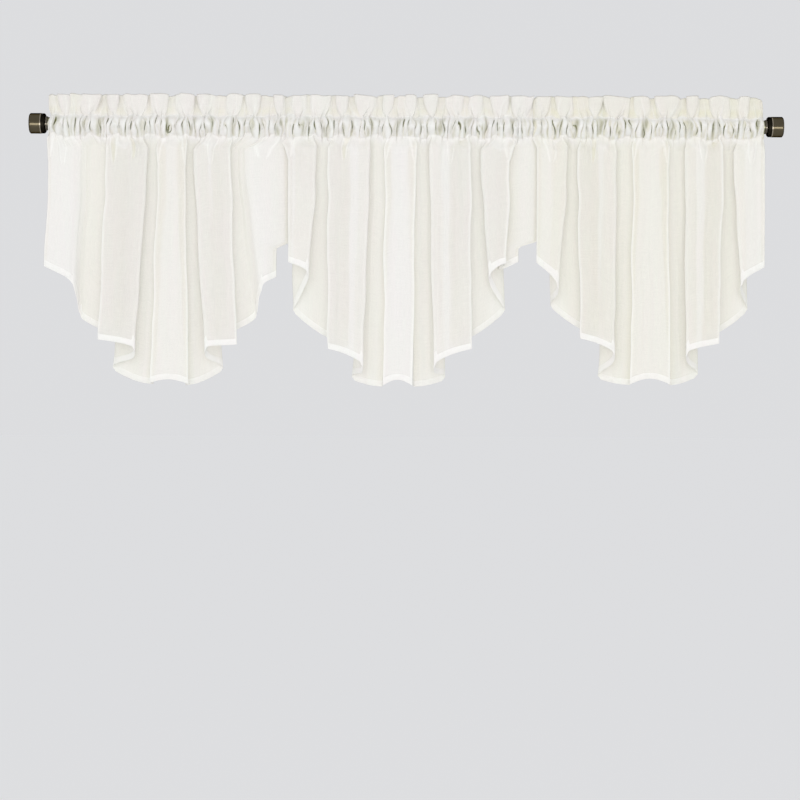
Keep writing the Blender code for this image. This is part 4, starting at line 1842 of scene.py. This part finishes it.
@dataclass
class BarrelCap:
    """A turned end cap: a barrel, a dark inner ring beyond a groove, and a threaded neck."""

    node: str
    outward: float
    radius: float = 21.4
    chamfer: float = 2.2
    rounding: float = 0.5
    ring_width: float = 8.6
    ring_radius: float = 21.0
    groove: float = 1.0
    groove_depth: float = 1.6
    rim_round: float = 0.4
    rim_drop: float = 0.5
    neck_radius: float = 14.6
    neck_length: float = 5.0
    bore_depth: float = 9.0
    bore_gap: float = 0.3
    thread: float = 0.8
    thread_turns: int = 4
    thread_margin: float = 0.3
    thread_crest: tuple[float, float] = (0.3, 0.7)
    dish: float = 0.6
    dish_rim: float = 3.0
    glint_width: float = 1.9
    glint_fade: float = 2.6
    near: float = 0.1
    sides: int = 96
    finishes: tuple[BronzeFinish, ...] = (CAP_BRONZE, CAP_RING_DARK, CAP_EDGE_GLINT)

    def build(self) -> bpy.types.Object:
        """Builds the cap within its node's box.

        Returns:
            The cap's object, in place.
        """
        low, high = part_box(self.node)
        start, end = sorted((abs(low[0]) / MM, abs(high[0]) / MM))
        ring = start + self.neck_length
        barrel = ring + self.ring_width
        outline = [(x * self.outward, radius) for x, radius in self._outline(start, end)]
        cap = turned_object(self.node + "_bronze", outline, self.sides)
        for finish in self.finishes:
            cap.data.materials.append(finish.build())
        # Painted highlight on the groove's rim and the thread's crests, dark finish on ring and
        # neck
        for face in cap.data.polygons:
            place, height = abs(face.center.x) / MM, face.center.yz.length / MM
            crest = place < ring and abs(height - self.neck_radius) < self.near
            if crest or barrel - self.near < place < barrel + self.glint_width:
                face.material_index = 2
            elif place < barrel - self.near:
                face.material_index = 1
        stand_in(cap, self.node)
        return cap

    def _outline(self, start: float, end: float) -> list[tuple[float, float]]:
        """Half profile of the cap, from its bore round its neck, ring and barrel to its face.

        Args:
            start: Distance of the neck's end from the rod's middle.
            end: Distance of the cap's face from the rod's middle.

        Returns:
            Distance from the rod's middle and radius of each point.
        """
        ring = start + self.neck_length
        barrel = ring + self.ring_width
        bore = ROD_RADIUS + self.bore_gap
        points = [(start + self.bore_depth, 0.0), (start + self.bore_depth, bore), (start, bore)]
        points += self._neck(start)
        points.append((ring, self.neck_radius))
        points += self._shoulder(ring, self.ring_radius, 1.0)
        points.append((barrel - self.groove, self.ring_radius))
        points.append((barrel - 0.5 * self.groove, self.ring_radius - self.groove_depth))
        points.append((barrel, self.radius - self.rim_drop))
        for step in (self.rim_round, self.glint_width, self.glint_fade):
            points.append((barrel + step, self.radius))
        points += reversed(self._shoulder(end, self.radius, -1.0))
        rim = self.radius - self.chamfer - self.dish_rim
        return points + [(end, rim), (end - self.dish, rim - self.dish), (end - self.dish, 0.0)]

    def _shoulder(self, end: float, radius: float, inward: float) -> list[tuple[float, float]]:
        """Rounded chamfer from an end face of a barrel up to its side.

        Args:
            end: Place of the end face.
            radius: Radius of the barrel.
            inward: Direction from the face into the barrel, 1 or -1.

        Returns:
            The points, the face's first.
        """
        cut, soft = self.chamfer, self.rounding
        corners = ((0.0, cut + soft), (0.3 * soft, cut), (cut - 0.2 * soft, 0.5 * soft),
                   (cut + soft, 0.0), (cut + soft + 0.5, 0.0))
        return [(end + inward * along, radius - down) for along, down in corners]

    def _neck(self, start: float) -> list[tuple[float, float]]:
        """Profile of the neck with its fine thread.

        Args:
            start: Place of the neck's end.

        Returns:
            The points, the end's first.
        """
        root = self.neck_radius - self.thread
        points = [(start, root)]
        pitch = (self.neck_length - 2.0 * self.thread_margin) / self.thread_turns
        for turn in range(self.thread_turns):
            foot = start + self.thread_margin + turn * pitch
            points += [(foot + share * pitch, self.neck_radius) for share in self.thread_crest]
            points.append((foot + pitch, root))
        return points


@dataclass
class Studio:
    """Endless pale floor that meets a world of its own brightness, a soft key and the camera."""

    floor: float = -2.6
    floor_size: float = 120.0
    floor_sides: int = 96
    world: tuple[float, float, float] = (0.72, 0.725, 0.74)
    key_power: float = 0.61
    key_angle: float = 80.0
    key_from: tuple[float, float, float] = (-0.20, -0.88, 0.42)
    fill_power: float = 86.0
    fill_size: tuple[float, float] = (5.2, 0.5)
    fill_place: tuple[float, float, float] = (0.0, -6.2, -0.78)
    gleam_power: float = 130.0
    gleam_size: tuple[float, float] = (5.6, 1.2)
    gleam_place: tuple[float, float, float] = (0.0, -5.2, -1.35)
    camera_distance: float = 4.65
    lens: float = 100.0
    sensor: float = 36.0
    view_middle: tuple[float, float] = (-0.0103, -0.575)
    roll_degrees: float = 0.296

    def build(self) -> None:
        """Builds the floor, the light and the camera."""
        self._floor()
        self._world()
        key = self._lamp("key", "SUN", self.key_power, self.key_from)
        key.data.angle = math.radians(self.key_angle)
        key.visible_glossy = False
        fill = self._strip("fill", self.fill_power, self.fill_size, self.fill_place)
        fill.visible_glossy = False
        gleam = self._strip("gleam", self.gleam_power, self.gleam_size, self.gleam_place)
        gleam.visible_diffuse = False
        self._camera()

    def _floor(self) -> None:
        """Flat pale floor far below the hems, as bright under the key as the world is."""
        mesh = bmesh.new()
        bmesh.ops.create_circle(
            mesh, cap_ends=True, radius=self.floor_size, segments=self.floor_sides,
            matrix=Matrix.Translation((0.0, 0.0, self.floor)))
        data = bpy.data.meshes.new("studio_floor")
        mesh.to_mesh(data)
        mesh.free()
        key = self.key_power * Vector(self.key_from).normalized().z / math.pi
        red, green, blue = (light / (light + key) for light in self.world)
        data.materials.append(PaperFinish("pale_paper", (red, green, blue, 1.0)).build())
        add_object("studio_floor", data)

    def _world(self) -> None:
        """Even pale light from all round."""
        world = bpy.data.worlds.new("studio")
        world.use_nodes = True
        light = world.node_tree.nodes["Background"]
        light.inputs["Color"].default_value = (*self.world, 1.0)
        light.inputs["Strength"].default_value = 1.0
        bpy.context.scene.world = world
        bpy.context.scene.view_settings.view_transform = "Standard"

    def _lamp(
            self, name: str, kind: str, power: float,
            source: tuple[float, float, float]) -> bpy.types.Object:
        """Lamp that faces the rod.

        Args:
            name: Name of the lamp.
            kind: Blender's name for its kind.
            power: Its power.
            source: Where its light comes from, seen from the rod's middle.

        Returns:
            The lamp, turned and not yet moved.
        """
        data = bpy.data.lights.new(name, kind)
        data.energy = power
        lamp = add_object(name, data)
        lamp.rotation_euler = Vector(source).to_track_quat("Z", "Y").to_euler()
        return lamp

    def _strip(
            self, name: str, power: float, size: tuple[float, float],
            place: tuple[float, float, float]) -> bpy.types.Object:
        """Long low strip of light behind the camera.

        Args:
            name: Name of the lamp.
            power: Its power in watts.
            size: Its width and height.
            place: Its middle.

        Returns:
            The lamp: one softens the cloth's shade, one draws the gleam on the metal.
        """
        lamp = self._lamp(name, "AREA", power, place)
        lamp.data.shape = "RECTANGLE"
        lamp.data.size, lamp.data.size_y = size
        lamp.location = place
        lamp.visible_camera = False
        return lamp

    def _camera(self) -> None:
        """Camera straight ahead of the panels' middle, turned a little about its own line."""
        data = bpy.data.cameras.new("camera")
        data.lens = self.lens
        data.sensor_width = self.sensor
        camera = add_object("camera", data)
        x, z = self.view_middle
        level = Matrix.Rotation(math.pi / 2.0, 4, "X")
        roll = Matrix.Rotation(math.radians(self.roll_degrees), 4, "Z")
        camera.matrix_world = Matrix.Translation((x, -self.camera_distance, z)) @ level @ roll
        bpy.context.scene.camera = camera


def main() -> None:
    """Builds the studio, the metal and the three panels, and reports each piece."""
    logging.basicConfig(level=logging.INFO, format="%(message)s")
    Studio().build()
    pieces = [CurtainRod().build()]
    pieces.append(BarrelCap("end_cap_left", -1.0).build())
    pieces.append(BarrelCap("end_cap_right", 1.0).build())
    # The panels' shade numbers below are painted shade, the right panel's over all its cloth
    panels = (
        VoilePanel(
            "valance_left", -748.6, -250.0, 10, 0.4, LEFT_FOLDS, LEFT_CREASES, LEFT_PUCKERS,
            hem=Hem(arch=8.0), left_pull=4.5, face_shades={2: 0.7, 8: 0.3, 14: 0.6}),
        VoilePanel(
            "valance_center", -248.5, 267.0, 11, 1.9, CENTER_FOLDS, CENTER_CREASES,
            CENTER_PUCKERS, lap=5.0),
        VoilePanel(
            "valance_right", 268.5, 748.4, 9, 3.3, RIGHT_FOLDS, RIGHT_CREASES, RIGHT_PUCKERS,
            lap=4.0, right_pull=1.0, top_pull=4.0, recess_shade=1.7, panel_shade=0.34,
            face_shades={0: 0.25, 8: 0.35}),
    )
    cloth = VoileFinish()
    pieces += [panel.build(cloth) for panel in panels]
    for piece in pieces:
        LOG.info("%s: %d faces", piece.name, len(piece.data.polygons))


if __name__ == "__main__":
    main()
